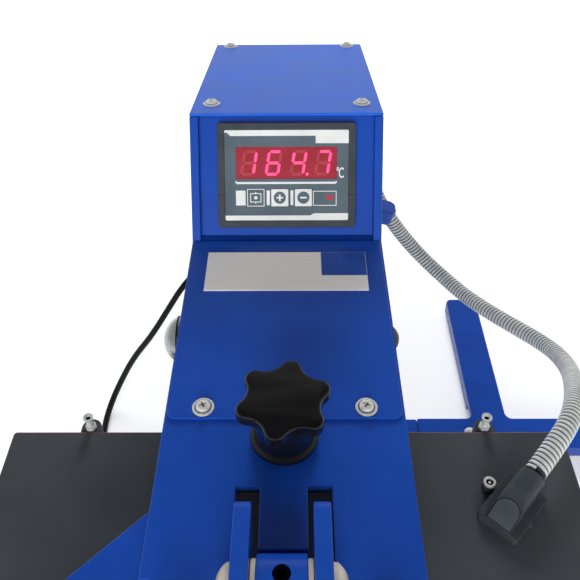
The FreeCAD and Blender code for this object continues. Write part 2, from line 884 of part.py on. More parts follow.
def make_control_box():
    lid = moved(box(-beam_half, beam_half, 0, lid_length, 0, sheet), lid_place)
    screws = []
    for x, y in lid_screw_places:
        lid = lid.cut(moved(upright(x, y, -1, sheet + 1, flanged_screw_radius + seat_gap), lid_place))
        screw = flanged_screw(cover_screw_flange, flanged_screw_radius, sheet + 4)
        screw.translate(Vector(x, y, sheet))
        screws.append(moved(screw, lid_place))

    front = -panel_recess
    back = front - sheet
    inside = cheek_inside - seat_gap
    foot = -back / math.tan(math.radians(90 - panel_lean))
    head = panel_length - front * math.tan(math.radians(panel_lean - lid_slope)) - 0.5
    panel = panel_block(inside, foot, head, back, front, 0)
    gap = panel_cutout_gap
    panel = panel.cut(face_block(case_width + 2 * gap, case_height + 2 * gap, 0, 0, back - 1, front + 1, 0))

    case = face_block(case_width, case_height, 0, 0, front - case_depth, front, 3)
    ledge_front = face_front - face_thickness
    bezel = face_block(bezel_width, bezel_height, 0, 0, front, front + bezel_depth, bezel_radius)
    opening = (bezel_width - 2 * bezel_rim, bezel_height - 2 * bezel_rim)
    bezel = bezel.cut(face_block(*opening, 0, 0, ledge_front, front + bezel_depth + 1, 1))
    bezel = bezel.cut(face_block(
        opening[0] - 2 * bezel_ledge, opening[1] - 2 * bezel_ledge, 0, 0, front - 1, ledge_front + 1, 1
    ))
    fit = 2 * seat_gap
    face = face_block(opening[0] - fit, opening[1] - fit, 0, 0, ledge_front, face_front, 1)
    face = face.cut(face_block(
        window_width + fit, window_height + fit, 0, window_centre_y, ledge_front - 1, face_front + 1, 0
    ))
    window = face_block(
        window_width, window_height, 0, window_centre_y, ledge_front, face_front - window_relief, 0
    )
    display = face_block(window_width - 6, window_height - 2, 0, window_centre_y, front, ledge_front, 0)
    for name, offset in key_offsets.items():
        hole = key_size + 2 * loose_gap
        face = face.cut(face_block(hole, hole, offset, key_row_y, ledge_front - 1, face_front + 1, 0))
        key_front = face_front + key_proud
        key_back = key_front - key_depth
        save(name, face_block(key_size, key_size, offset, key_row_y, key_back, key_front, key_corner_radius))

    rear = box(
        -inside, inside, box_rear_y - sheet, box_rear_y,
        cheek_low, box_rear_z - sheet * math.tan(slope) - 0.2,
    )
    save("box_lid", lid)
    save("front_panel", panel)
    save("controller_case", case)
    save("controller_bezel", bezel)
    save("controller_face", face)
    save("display_window", window)
    save("led_display", display)
    make_mains_inlet(rear)
    return screws


def make_mains_inlet(rear_panel):
    z = beam_top - switch_below_beam
    axis_y = box_rear_y - 3
    half_w = switch_width / 2
    half_h = switch_height / 2
    body_half_w = half_w - 1.5
    body_half_h = half_h - 1.5
    body = join([
        box(switch_x - half_w, switch_x + half_w, box_rear_y, box_rear_y + 2, z - half_h, z + half_h),
        box(switch_x - body_half_w, switch_x + body_half_w, box_rear_y - switch_depth, box_rear_y,
            z - body_half_h, z + body_half_h),
    ])
    room = rocker_width / 2 + loose_gap
    body = body.cut(crosswise(switch_x - room, switch_x + room, axis_y, z, rocker_radius + loose_gap))
    pivot = body_half_w - 0.5
    body = body.cut(crosswise(switch_x - pivot, switch_x + pivot, axis_y, z, 1.5 + running_gap))
    rear_panel = rear_panel.cut(box(
        switch_x - body_half_w - seat_gap, switch_x + body_half_w + seat_gap,
        box_rear_y - sheet - 1, box_rear_y + 1,
        z - body_half_h - seat_gap, z + body_half_h + seat_gap,
    ))
    half = rocker_width / 2
    rocker = crosswise(switch_x - half, switch_x + half, axis_y, z, rocker_radius)
    fall = rocker_radius * math.tan(math.radians(rocker_tilt))
    crest = Vector(switch_x - half - 1, axis_y + rocker_crest, z)
    edge = rocker_crest - fall
    shape = Part.makePolygon([
        crest,
        Vector(crest.x, axis_y + edge, z + rocker_radius),
        Vector(crest.x, axis_y - rocker_radius - 1, z + rocker_radius + 1),
        Vector(crest.x, axis_y - rocker_radius - 1, z - rocker_radius - 1),
        Vector(crest.x, axis_y + edge, z - rocker_radius),
        crest,
    ])
    rocker = rocker.common(Part.Face(shape).extrude(Vector(rocker_width + 2, 0, 0)))
    rocker = join([rocker, crosswise(switch_x - pivot + 0.2, switch_x + pivot - 0.2, axis_y, z, 1.5)])
    rocker.rotate(Vector(switch_x, axis_y, z), Vector(1, 0, 0), -rocker_tilt)

    x, y, relief_low = cord_points[0]
    gland_low = cheek_low - 8
    gland = join([
        hexagon(x, y, gland_low, cheek_low, 17),
        upright(x, y, cheek_low, cheek_low + bearing_plate_thickness + 4, 6),
    ])
    relief = turned([
        (0, relief_low), (cord_diameter / 2 + 0.9, relief_low),
        (6.2, gland_low), (0, gland_low),
    ], x, y)
    save("back_panel", rear_panel)
    save("switch_body", body)
    save("switch_rocker", rocker)
    save("cable_gland", join([gland, relief]))


def make_cover():
    half = beam_half - cover_side_gap
    cover_top = beam_top + sheet
    rear = panel_foot_y - loose_gap
    cover = flat_plate(
        [
            (-half, cover_front_y, cover_corner_radius), (half, cover_front_y, cover_corner_radius),
            (half, rear, 0), (-half, rear, 0),
        ],
        beam_top, cover_top,
    )
    screws = []
    for side in (-1, 1):
        x = side * cover_screw_x
        cover = cover.cut(upright(
            x, cover_screw_y, beam_top - 1, cover_top + 1, flanged_screw_radius + seat_gap
        ))
        screw = flanged_screw(cover_screw_flange, flanged_screw_radius, sheet + top_plate_thickness)
        screw.translate(Vector(x, cover_screw_y, cover_top))
        screws.append(screw)
    width = nameplate_width / 2
    height = nameplate_height / 2
    plate = box(
        -width, width, nameplate_centre_y - height, nameplate_centre_y + height,
        cover_top, cover_top + nameplate_thickness,
    )
    save("cover_sheet", cover)
    save("nameplate", plate)
    return screws


def make_lever():
    shaft = (shaft_y, shaft_z)
    pin = (load_pin_y, load_pin_z)
    knee = (shaft_y - knee_reach, shaft_z + knee_rise)
    tail = (shaft_y + tail_reach, shaft_z + tail_rise)
    handle = (handle_y, handle_z)
    arms = []
    for x0 in (-arm_outside, arm_inside):
        x1 = x0 + arm_thickness
        arm = join([
            strap(shaft, shaft_boss_radius, pin, load_boss_radius, x0, x1),
            strap(shaft, shaft_boss_radius, knee, knee_radius, x0, x1),
            strap(pin, load_boss_radius, knee, knee_radius, x0, x1),
            strap(knee, knee_radius, handle, handle_boss_radius, x0, x1),
            strap(shaft, shaft_boss_radius, tail, tail_radius, x0, x1),
        ])
        arm = arm.cut(crosswise(x0 - 1, x1 + 1, *shaft, shaft_radius + running_gap))
        arm = arm.cut(crosswise(x0 - 1, x1 + 1, *pin, load_pin_radius + seat_gap))
        arm = arm.cut(crosswise(x0 - 1, x1 + 1, *handle, handle_radius + seat_gap))
        arms.append(arm)
    save("lever_arms", arms)
    cap_start = arm_outside + 2 * arm_side_gap
    save("load_pin", crosswise(-arm_outside - 1, arm_outside + 1, *pin, load_pin_radius))
    save("lever_shaft", crosswise(-cap_start, cap_start, *shaft, shaft_radius))
    caps = []
    washers = []
    for side in (-1, 1):
        cap = join([
            dome_head(shaft_cap_radius, shaft_cap_length - 2).translated(Vector(0, 0, 2)),
            upright(0, 0, 0, 2, shaft_cap_radius),
        ])
        turn = Rotation(Vector(0, 1, 0), side * 90)
        caps.append(moved(cap, Placement(Vector(side * cap_start, *shaft), turn)))
        x0 = side * hub_half_width
        x1 = side * (hub_half_width + washer_thickness)
        washer = crosswise(min(x0, x1), max(x0, x1), *shaft, washer_radius)
        washers.append(washer.cut(crosswise(-40, 40, *shaft, shaft_radius + running_gap)))
    save("shaft_caps", caps)
    save("nylon_washers", washers)

    reach = handle_length / 2
    save("handle_bar", crosswise(-reach + 3, reach - 3, *handle, handle_radius))
    grips = []
    for side in (-1, 1):
        rib = 1.2
        profile = [(0, 0), (grip_radius - rib, 0), (grip_radius, rib * 2)]
        rings = 5
        span = (grip_length - 8) / rings
        for ring in range(rings):
            low = 4 + ring * span
            profile += [
                (grip_radius, low + 1), (grip_radius, low + span * 0.72),
                (grip_radius - rib, low + span * 0.8), (grip_radius - rib, low + span * 0.94),
            ]
        profile += [(grip_radius, grip_length - 3), (grip_radius - 3, grip_length), (0, grip_length)]
        grip = turned(profile, 0, 0)
        grip = grip.cut(upright(0, 0, -1, grip_length - 3, handle_radius + seat_gap))
        turn = Rotation(Vector(0, 1, 0), side * 90)
        grips.append(moved(grip, Placement(Vector(side * (reach - grip_length), *handle), turn)))
    save("handle_grips", grips)


def make_pressure_arm():
    bar_low = beam_top - arm_bar_low
    bar_high = beam_top - arm_bar_high
    rear = (rear_bolt_y, rear_bolt_z)
    middle = (rear_bolt_y - 44, (bar_low + bar_high) / 2)
    half = hub_half_width
    bar_half_height = (bar_high - bar_low) / 2
    riser_rear = shaft_y + hub_radius
    riser_front = shaft_y - hub_radius
    arm = join([
        strap(rear, arm_rear_radius, middle, bar_half_height, -half, half),
        side_plate(
            [
                (middle[0], bar_low, 0), (middle[0], bar_high, 0), (riser_rear, bar_high, 6),
                (riser_rear, shaft_z, 0), (riser_front, shaft_z, 0), (riser_front, bar_low, 9),
            ],
            -half, half,
        ),
        crosswise(-half, half, shaft_y, shaft_z, hub_radius),
    ])
    arm = arm.cut(crosswise(-half - 1, half + 1, shaft_y, shaft_z, shaft_radius + seat_gap))
    arm = arm.cut(crosswise(-half - 1, half + 1, *rear, rear_bolt_radius + running_gap))
    screw_top = shaft_z + hub_radius - 0.6
    arm = arm.cut(upright(0, shaft_y, shaft_z, screw_top + 6, 4 + seat_gap))
    screw = upright(0, shaft_y, shaft_z + shaft_radius + seat_gap, screw_top, 4)
    screw = screw.cut(upright(0, shaft_y, screw_top - 4, screw_top + 1, 2))
    spacers = []
    for x0, x1 in ((-cheek_inside, -half - loose_gap), (half + loose_gap, cheek_inside)):
        spacer = crosswise(x0, x1, *rear, rear_bolt_radius + 3)
        spacers.append(spacer.cut(crosswise(x0 - 1, x1 + 1, *rear, rear_bolt_radius + seat_gap)))
    dome_seat = -beam_half - rear_washer_height
    dome = moved(
        dome_head(rear_bolt_dome_radius, rear_bolt_dome_height),
        Placement(Vector(dome_seat, *rear), Rotation(Vector(0, 1, 0), -90)),
    )
    bolt_end = beam_half + rear_cap_height / 2
    bolt = join([dome, crosswise(dome_seat, bolt_end, *rear, rear_bolt_radius)])
    cap = moved(
        dome_head(rear_cap_radius, rear_cap_height),
        Placement(Vector(beam_half, *rear), Rotation(Vector(0, 1, 0), 90)),
    )
    cap = cap.cut(crosswise(beam_half - 1, bolt_end, *rear, rear_bolt_radius + seat_gap))
    bolt_washer = crosswise(dome_seat, -beam_half, *rear, rear_washer_radius)
    bolt_washer = bolt_washer.cut(
        crosswise(dome_seat - 1, -beam_half + 1, *rear, rear_bolt_radius + seat_gap)
    )
    save("pressure_arm", arm)
    save("arm_bolt", [bolt, cap, bolt_washer] + spacers)

    front = (front_bolt_y, front_bolt_z)
    block_half = cheek_inside - seat_gap
    block_low = top_plate_low - pressure_block_height
    block = box(
        -block_half, block_half, pressure_block_front_y, pressure_block_rear_y, block_low, top_plate_low
    )
    block = block.cut(upright(0, knob_y, block_low - 1, top_plate_low + 1, spindle_radius + running_gap))
    bolts = []
    for side in (-1, 1):
        inner = side * (cheek_inside - 22)
        hole = crosswise(min(inner, side * cheek_inside), max(inner, side * cheek_inside), *front,
                         front_bolt_radius + seat_gap)
        block = block.cut(hole)
        start = side * beam_half
        head_end = side * (beam_half + front_bolt_head_height)
        shank = crosswise(min(inner, start), max(inner, start), *front, front_bolt_radius)
        head = crosswise(min(start, head_end), max(start, head_end), *front, front_bolt_head_radius)
        bolts.append(join([shank, head]))
    save("pressure_block", block)
    save("socket_screws", bolts + [screw])

    pad_low = bar_high + loose_gap
    pad = upright(0, knob_y, pad_low, pad_low + pad_height, pad_radius)
    pocket = pad_low + pad_height / 2
    pad = pad.cut(upright(0, knob_y, pocket, pad_low + pad_height + 1, spindle_radius + running_gap))
    knob_low = beam_top + knob_base_height
    save("pressure_pad", pad)
    save("spindle", upright(0, knob_y, pocket, knob_low + knob_hub_height + 8, spindle_radius))
    save("star_knob", make_star_knob(knob_low))


def make_star_knob(knob_low):
    """Round lobes joined by hollows, on a flared hub."""
    lobe_circle = knob_radius - knob_lobe_radius
    half_step = math.pi / knob_lobes
    reach = knob_lobe_radius + knob_valley_radius
    aside = lobe_circle * math.sin(half_step)
    valley_circle = lobe_circle * math.cos(half_step) + math.sqrt(reach ** 2 - aside ** 2)
    star_low = knob_low + knob_hub_height + 3
    star_top = beam_top + knob_height + knob_base_height
    first = math.radians(knob_first_lobe)

    def at(distance, angle):
        return Vector(distance * math.cos(angle), knob_y + distance * math.sin(angle), star_low)

    edges = []
    for index in range(knob_lobes):
        angle = first + 2 * half_step * index
        lobe = at(lobe_circle, angle)
        valley_before = at(valley_circle, angle - half_step)
        valley_after = at(valley_circle, angle + half_step)
        next_lobe = at(lobe_circle, angle + 2 * half_step)
        start = lobe + (valley_before - lobe) * (knob_lobe_radius / reach)
        end = lobe + (valley_after - lobe) * (knob_lobe_radius / reach)
        edges.append(Part.Arc(start, at(knob_radius, angle), end).toShape())
        next_start = next_lobe + (valley_after - next_lobe) * (knob_lobe_radius / reach)
        bottom = at(valley_circle - knob_valley_radius, angle + half_step)
        edges.append(Part.Arc(end, bottom, next_start).toShape())
    star = Part.Face(Part.Wire(edges)).extrude(Vector(0, 0, star_top - star_low))
    rim = [edge for edge in star.Edges if edge.BoundBox.ZLength < 1e-6]
    star = star.makeChamfer(knob_chamfer, rim)
    flare_top = knob_low + knob_flare_height
    hub_top = knob_low + knob_hub_height
    hub = turned([
        (0, knob_low), (knob_flare_radius - 1, knob_low), (knob_flare_radius, knob_low + 1),
        (knob_flare_radius, flare_top - 1), (knob_flare_radius - 1, flare_top),
        (knob_hub_radius, flare_top + 2), (knob_hub_radius, hub_top - 4),
        (knob_hub_radius + 2.5, hub_top + 3.5), (0, hub_top + 3.5),
    ], 0, knob_y)
    knob = join([star, hub])
    bore_end = knob_low + knob_hub_height + 8
    return knob.cut(upright(0, knob_y, knob_low - 1, bore_end, spindle_radius + seat_gap))


def make_yoke():
    half = yoke_base_width / 2
    rise = (shaft_z - load_pin_z)
    slot_rear = load_pin_y + load_pin_radius + yoke_pin_gap
    slot_front_centre = shaft_y - crank_radius
    post_rear = slot_rear + yoke_rear_wall
    post_top = load_pin_z + yoke_crown
    base = flat_plate(
        rectangle(-half, half, yoke_base_front_y, yoke_base_rear_y, 8), platen_top, yoke_base_top
    )
    post = side_plate(
        [
            (post_rear, yoke_base_top, 0), (post_rear, post_top, 5), (yoke_front_y, post_top, 10),
            (yoke_front_y, load_pin_z - rise, 20), (yoke_base_front_y + 6, yoke_base_top, 0),
        ],
        -yoke_half_width, yoke_half_width,
    )
    ribs = []
    for side in (-1, 1):
        root = side * yoke_half_width
        corners = [
            Vector(root, platen_y - 4, yoke_base_top), Vector(side * 58, platen_y - 4, yoke_base_top),
            Vector(side * 58, platen_y - 4, yoke_base_top + 6),
            Vector(root, platen_y - 4, load_pin_z - rise),
        ]
        ribs.append(Part.Face(Part.makePolygon(corners + corners[:1])).extrude(Vector(0, 8, 0)))
    yoke = join([base, post] + ribs)
    gap_radius = load_pin_radius + yoke_pin_gap
    width = yoke_half_width + 1
    yoke = yoke.cut(join([
        crosswise(-width, width, load_pin_y, load_pin_z, gap_radius),
        crosswise(-width, width, slot_front_centre, load_pin_z, gap_radius),
        box(-width, width, slot_front_centre, load_pin_y, load_pin_z - gap_radius, load_pin_z + gap_radius),
    ]))
    rods = []
    for side in (-1, 1):
        x = side * guide_x
        yoke = yoke.cut(upright(x, guide_y, platen_top - 1, yoke_base_top + 1, guide_rod_radius + seat_gap))
        rod_top = platen_top + guide_rod_height
        rods.append(turned([
            (0, platen_top), (guide_rod_radius, platen_top), (guide_rod_radius, rod_top - 2),
            (guide_rod_radius - 2, rod_top), (0, rod_top),
        ], x, guide_y))
    for x, y in stud_places:
        yoke = yoke.cut(upright(x, y, platen_top - 1, yoke_base_top + 1, stud_radius + seat_gap))
    save("platen_yoke", yoke)
    save("guide_rods", rods)


stud_places = [(x, y) for x in (-stud_x, stud_x) for y in (stud_rear_y, stud_front_y)]


def make_heated_platen():
    half = platen_size / 2
    y0 = platen_y - half
    y1 = platen_y + half
    outline = rectangle(-half, half, y0, y1, platen_corner_radius)
    plate = flat_plate(outline, heater_bottom, heater_top)
    inside = half - cover_wall
    shell = flat_plate(outline, heater_top, platen_top)
    top_edges = [edge for edge in shell.Edges if edge.BoundBox.ZMin > platen_top - 1e-3]
    shell = shell.makeFillet(cover_fold_radius, top_edges)
    cover = shell.cut(flat_plate(
        rectangle(-inside, inside, platen_y - inside, platen_y + inside, platen_corner_radius - cover_wall),
        heater_top - 1, platen_top - cover_wall,
    ))
    element_top = heater_top + element_height
    blanket_low = element_top + loose_gap
    blanket_half = inside - blanket_margin
    blanket = box(
        -blanket_half, blanket_half, platen_y - blanket_half, platen_y + blanket_half,
        blanket_low, blanket_low + blanket_thickness,
    )
    studs = []
    spacers = []
    cover_low = platen_top - cover_wall
    nut_top = yoke_base_top + 6
    for x, y in stud_places:
        stud_low = heater_top - 10
        plate = plate.cut(upright(x, y, stud_low, heater_top + 1, stud_radius + seat_gap))
        cover = cover.cut(upright(x, y, cover_low - 1, platen_top + 1, stud_radius + seat_gap))
        blanket = blanket.cut(upright(x, y, blanket_low - 1, blanket_low + blanket_thickness + 1, 9))
        stud = upright(x, y, stud_low, nut_top - 1, stud_radius)
        nut = hexagon(x, y, yoke_base_top, nut_top, 17)
        studs.append(join([stud, nut]))
        spacer = upright(x, y, heater_top, cover_low, 8)
        spacers.append(spacer.cut(upright(x, y, heater_top - 1, cover_low + 1, stud_radius + seat_gap)))

    reach = half - element_margin
    near = stud_x - element_inside_stud
    far = stud_x + element_outside_stud
    run_places = [-reach, -far, -near, near, far, reach]
    wide = element_width / 2
    runs = []
    for index, x in enumerate(run_places):
        runs.append(box(x - wide, x + wide, platen_y - reach, platen_y + reach, heater_top, element_top))
        if index + 1 < len(run_places):
            end_y = platen_y + (reach if index % 2 else -reach)
            low_y = min(end_y, end_y + (-1 if index % 2 else 1) * element_width)
            next_x = run_places[index + 1]
            runs.append(box(x - wide, next_x + wide, low_y, low_y + element_width, heater_top, element_top))
    probe_radius = element_height / 2
    probe_z = heater_top + probe_radius
    probe_end = y1 - blanket_margin - cover_wall
    probe = rod((0, probe_end - probe_length, probe_z), (0, probe_end, probe_z), probe_radius)
    make_platen_fittings(cover, y1)
    save("heater_plate", plate)
    save("heating_element", join(runs))
    save("insulation_blanket", blanket)
    save("temperature_probe", probe)
    save("platen_studs", studs + spacers)


def make_platen_fittings(cover, rear_y):
    screws = []
    for side in (-1, 1):
        x = side * edge_screw_x
        y = rear_y + edge_lug_overhang
        low = platen_top - edge_lug_thickness
        lug = join([
            upright(x, y, low, platen_top - 1, edge_lug_radius),
            box(x - edge_lug_radius, x + edge_lug_radius, rear_y, y, low, platen_top - 1),
        ])
        lug = lug.cut(box(x - 20, x + 20, rear_y - 20, rear_y - cover_wall / 2, low - 1, platen_top))
        cover = join([cover, lug]).cut(upright(x, y, low - 1, platen_top, edge_screw_radius + seat_gap))
        stand = platen_top + edge_stand
        screws.append(join([
            upright(x, y, low - 6, stand, edge_screw_radius),
            upright(x, y, stand, stand + edge_head_height, edge_head_radius),
        ]))
        nut = upright(x, y, platen_top - 1, platen_top - 1 + edge_nut_height, edge_nut_radius)
        screws.append(nut.cut(upright(x, y, low, stand, edge_screw_radius + seat_gap)))
    cover = cover.cut(
        upright(earth_x, earth_y, platen_top - cover_wall - 1, platen_top + 1, earth_screw_radius + seat_gap)
    )
    bush_top = platen_top + earth_bush_height
    bush = upright(earth_x, earth_y, platen_top, bush_top, earth_bush_radius)
    bush = bush.cut(upright(earth_x, earth_y, platen_top - 1, bush_top + 1, earth_screw_radius + seat_gap))
    head = moved(
        dome_head(earth_bush_radius, earth_head_height),
        Placement(Vector(earth_x, earth_y, bush_top), Rotation()),
    )
    screw = join([head, upright(earth_x, earth_y, platen_top - 5, bush_top, earth_screw_radius)])

    turn = Placement(
        Vector(connector_front_x, connector_front_y, platen_top), Rotation(Vector(0, 0, 1), connector_turn)
    )
    half = connector_width / 2
    base = flat_plate(rectangle(0, connector_length, -half, half, 2), 0, connector_base_height)
    crest = connector_base_height + hood_front_height
    skirt_top = connector_base_height + hood_skirt_height
    skirt = box(0, hood_length, -hood_width / 2, hood_width / 2, connector_base_height, skirt_top)
    end = Vector(*conduit_points[-1])
    along = end - Vector(*conduit_points[-2])
    along.normalize()
    neck = rod(tuple(end), tuple(end + along * hood_neck_length), hood_neck_radius)
    hood = join([moved(skirt, turn), neck])
    reach = 60.0
    front = [
        Vector(-reach, -reach, crest - reach * hood_slope), Vector(reach, -reach, crest + reach * hood_slope),
        Vector(-reach, -reach, crest + reach * hood_slope),
    ]
    front_cut = Part.Face(Part.makePolygon(front + front[:1])).extrude(Vector(0, 2 * reach, 0))
    below = box(-reach, reach, -reach, reach, -reach, connector_base_height)
    hood = hood.cut(moved(front_cut, turn)).cut(moved(below, turn))
    base = moved(base, turn)
    save("heater_cover", cover)
    save("edge_screws", screws + [bush, screw])
    save("heater_connector", [base, hood])


def make_swing_grip():
    top = beam_top - bracket_below_beam
    low = top - bracket_thickness
    root_x = -beam_half
    size = bracket_grip_round * math.sqrt(2)
    far = bracket_grip_round - 0.1
    grip_x = root_x - (bracket_rear_y - bracket_grip_y) + size
    root_front = bracket_rear_y - 2 * size
    bracket = flat_plate(
        [
            (root_x, bracket_rear_y, 0), (grip_x - size, bracket_grip_y, far),
            (grip_x, bracket_grip_y - size, far), (root_x, root_front, 0),
        ],
        low, top,
    )
    bracket = join([
        bracket,
        hexagon(grip_x, bracket_grip_y, low - 5.3, low, 16),
        upright(grip_x, bracket_grip_y, low, top + grip_socket_depth, grip_post_radius),
    ])
    grip_top = top + swing_grip_height
    radius = swing_grip_radius
    grip = turned([
        (0, top), (radius - 4, top), (radius - 3, top + 6), (radius, top + grip_socket_depth + 2),
        (radius, grip_top - 18), (radius - 2, grip_top - 8), (radius - 6, grip_top - 2), (0, grip_top),
    ], grip_x, bracket_grip_y)
    socket_top = top + grip_socket_depth
    grip = grip.cut(upright(grip_x, bracket_grip_y, top - 1, socket_top, grip_post_radius + seat_gap))
    save("swing_bracket", bracket)
    save("swing_grip", grip)


def circle_along(edges, distance, radius):
    """A circle square to the route, turned the same way all along it."""
    for edge in edges:
        if distance <= edge.Length or edge is edges[-1]:
            break
        distance -= edge.Length
    parameter = edge.getParameterByLength(min(distance, edge.Length))
    centre = edge.valueAt(parameter)
    tangent = edge.tangentAt(parameter)
    circle = Part.Circle(centre, tangent, radius)
    circle.XAxis = tangent.cross(Vector(1, 0, 0))
    return Part.Wire(circle.toShape())


def make_conduit():
    edges, radii = soft_route(conduit_points)
    length = sum(edge.Length for edge in edges)
    outer = conduit_diameter / 2
    groove = outer - conduit_groove_depth
    straight = conduit_diameter * 0.6
    ribs = round((length - 2 * straight) / conduit_rib_pitch)
    pitch = (length - 2 * straight) / ribs
    circles = [circle_along(edges, 0, outer)]
    for index in range(ribs):
        start = straight + index * pitch
        for share, radius in ((0.0, outer), (0.1, groove), (0.3, groove), (0.4, outer)):
            circles.append(circle_along(edges, start + share * pitch, radius))
    circles.append(circle_along(edges, length, outer))
    faces = [Part.Face(circles[0]), Part.Face(circles[-1])]
    for first, second in zip(circles, circles[1:]):
        faces += Part.makeLoft([first, second], False, True).Faces
    skin = Part.makeShell(faces)
    skin.sewShape()
    hose = Part.Solid(skin).cut(tube_along(edges, conduit_bore / 2))
    print("conduit: length", round(length, 1), "ribs", ribs, "radii", [round(r, 1) for r in radii])
    save("metal_conduit", hose)

    x, y, z = conduit_points[0]
    body_low = z + elbow_collar
    body = flat_plate(
        rectangle(beam_half, beam_half + elbow_width, y - elbow_depth / 2, y + elbow_depth / 2, 5),
        body_low, body_low + elbow_length,
    )
    elbow = join([body, rod((x, y, z), (x, y, body_low + 2), conduit_diameter / 2 + 0.6)])
    save("conduit_fittings", elbow)

    tip = beam_half + conduit_lug_reach
    root = beam_half - conduit_lug_reach
    lug = flat_plate(
        [
            (root, conduit_lug_front_y, 0), (tip, conduit_lug_front_y, conduit_lug_round),
            (tip, conduit_lug_rear_y, conduit_lug_round), (root, conduit_lug_rear_y, 0),
        ],
        conduit_lug_low, conduit_lug_high,
    )
    half_height = (conduit_lug_high - conduit_lug_low) / 2
    middle = Vector(tip - half_height, 0, conduit_lug_low + half_height)
    lug.rotate(middle, Vector(0, 1, 0), conduit_lug_droop)
    save("conduit_lug", lug.cut(box(
        -beam_half, beam_half, conduit_lug_front_y - 1, conduit_lug_rear_y + 1, cheek_low, beam_top
    )))


def make_mains_lead():
    radius = cord_diameter / 2
    edges, radii = soft_route(cord_points)
    length = sum(edge.Length for edge in edges)
    print("cord: length", round(length, 1), "radii", [round(r, 1) for r in radii])
    tube = tube_along(edges, radius)
    print("cord: volume ratio", round(tube.Volume / (math.pi * radius ** 2 * length), 4))
    save("mains_cord", tube)

    start = Vector(*cord_points[-1])
    step = (cord_diameter + coil_gap) / 2
    layer = cord_diameter + coil_gap
    corner = start + Vector(0, -cord_diameter, 0)
    turns = [Part.LineSegment(start, corner).toShape()]
    turn_radius = coil_first_radius
    for index in range(coil_half_turns):
        side = -1 if index % 2 == 0 else 1
        climb = layer if index == coil_inward_half_turns else 0
        finish = corner + Vector(side * 2 * turn_radius, 0, climb)
        middle = (corner + finish) / 2 + Vector(0, side * 1, 0) * Vector(finish - corner).Length * 0.5
        turns.append(Part.Arc(corner, middle, finish).toShape())
        corner = finish
        if index < coil_inward_half_turns:
            turn_radius -= step
        else:
            turn_radius += step
    plug_z = plug_body_radius + 0.2
    rise = plug_z - corner.z
    bend = math.acos(1 - rise / (2 * coil_tail_bend))
    centre = corner + Vector(0, 0, coil_tail_bend)
    reach = coil_tail_bend * math.sin(bend)
    half_way = corner + Vector(0, -reach, rise / 2)
    low_middle = centre + Vector(
        0, -coil_tail_bend * math.sin(bend / 2), -coil_tail_bend * math.cos(bend / 2)
    )
    finish = half_way + Vector(0, -reach, rise / 2)
    high_middle = finish + half_way * 0 + Vector(
        0, coil_tail_bend * math.sin(bend / 2), coil_tail_bend * math.cos(bend / 2) - coil_tail_bend
    )
    turns.append(Part.Arc(corner, low_middle, half_way).toShape())
    turns.append(Part.Arc(half_way, high_middle, finish).toShape())
    plug_start = finish + Vector(0, -cord_diameter, 0)
    turns.append(Part.LineSegment(finish, plug_start).toShape())
    ring = []
    for index in range(6):
        angle = math.radians(60 * index)
        ring.append(start + Vector(radius * math.cos(angle), 0, radius * math.sin(angle)))
    section = Part.makePolygon(ring + ring[:1])
    coil = Part.Wire(turns).makePipeShell([section], True, False)
    coil_length = sum(edge.Length for edge in turns)
    print("coil: length", round(coil_length, 1), "least gap", round(least_gap(turns), 2))
    save("mains_coil", coil)

    relief_end = plug_start + Vector(0, -plug_relief_length, 0)
    body_end = relief_end + Vector(0, -plug_body_length, 0)
    plug_length = plug_relief_length + plug_body_length
    outline = [
        (0, 0), (cord_diameter / 2 + 1, 0), (cord_diameter / 2 + 3.5, plug_relief_length),
        (plug_body_radius - 5, plug_relief_length), (plug_body_radius, plug_relief_length + 9),
        (plug_body_radius, plug_length - 1), (plug_body_radius - 1, plug_length), (0, plug_length),
    ]
    plug = turned(outline, 0, 0)
    plug = moved(plug, Placement(plug_start, Rotation(Vector(1, 0, 0), 90)))
    pins = []
    for x in (-plug_pin_spacing / 2, plug_pin_spacing / 2):
        root = body_end + Vector(x, 1, 0)
        tip = body_end + Vector(x, -plug_pin_length, 0)
        pins.append(rod(tuple(root), tuple(tip), plug_pin_radius))
    save("mains_plug", join([plug] + pins))
    print("coil ends at", start, "plug starts at", plug_start)


def least_gap(edges):
    """The smallest clear gap between turns of one wound cord."""
    points = []
    for edge in edges:
        count = max(2, int(edge.Length / 3))
        points += edge.discretize(count)[:-1]
    apart = 12
    least = min(
        (a - b).Length
        for index, a in enumerate(points)
        for b in points[index + apart:]
    )
    return least - cord_diameter


outrigger_screws = make_base()
column_screws, swing_bushes = make_column()
save("base_screws", outrigger_screws + column_screws + make_lower_platen())
save("bronze_bushes", swing_bushes + make_head())
save("flanged_screws", make_control_box() + make_cover())
make_lever()
make_pressure_arm()
make_yoke()
make_heated_platen()
make_swing_grip()
make_conduit()
make_mains_lead()
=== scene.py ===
import json
import math

import bmesh
import bpy
from mathutils import Matrix, Vector


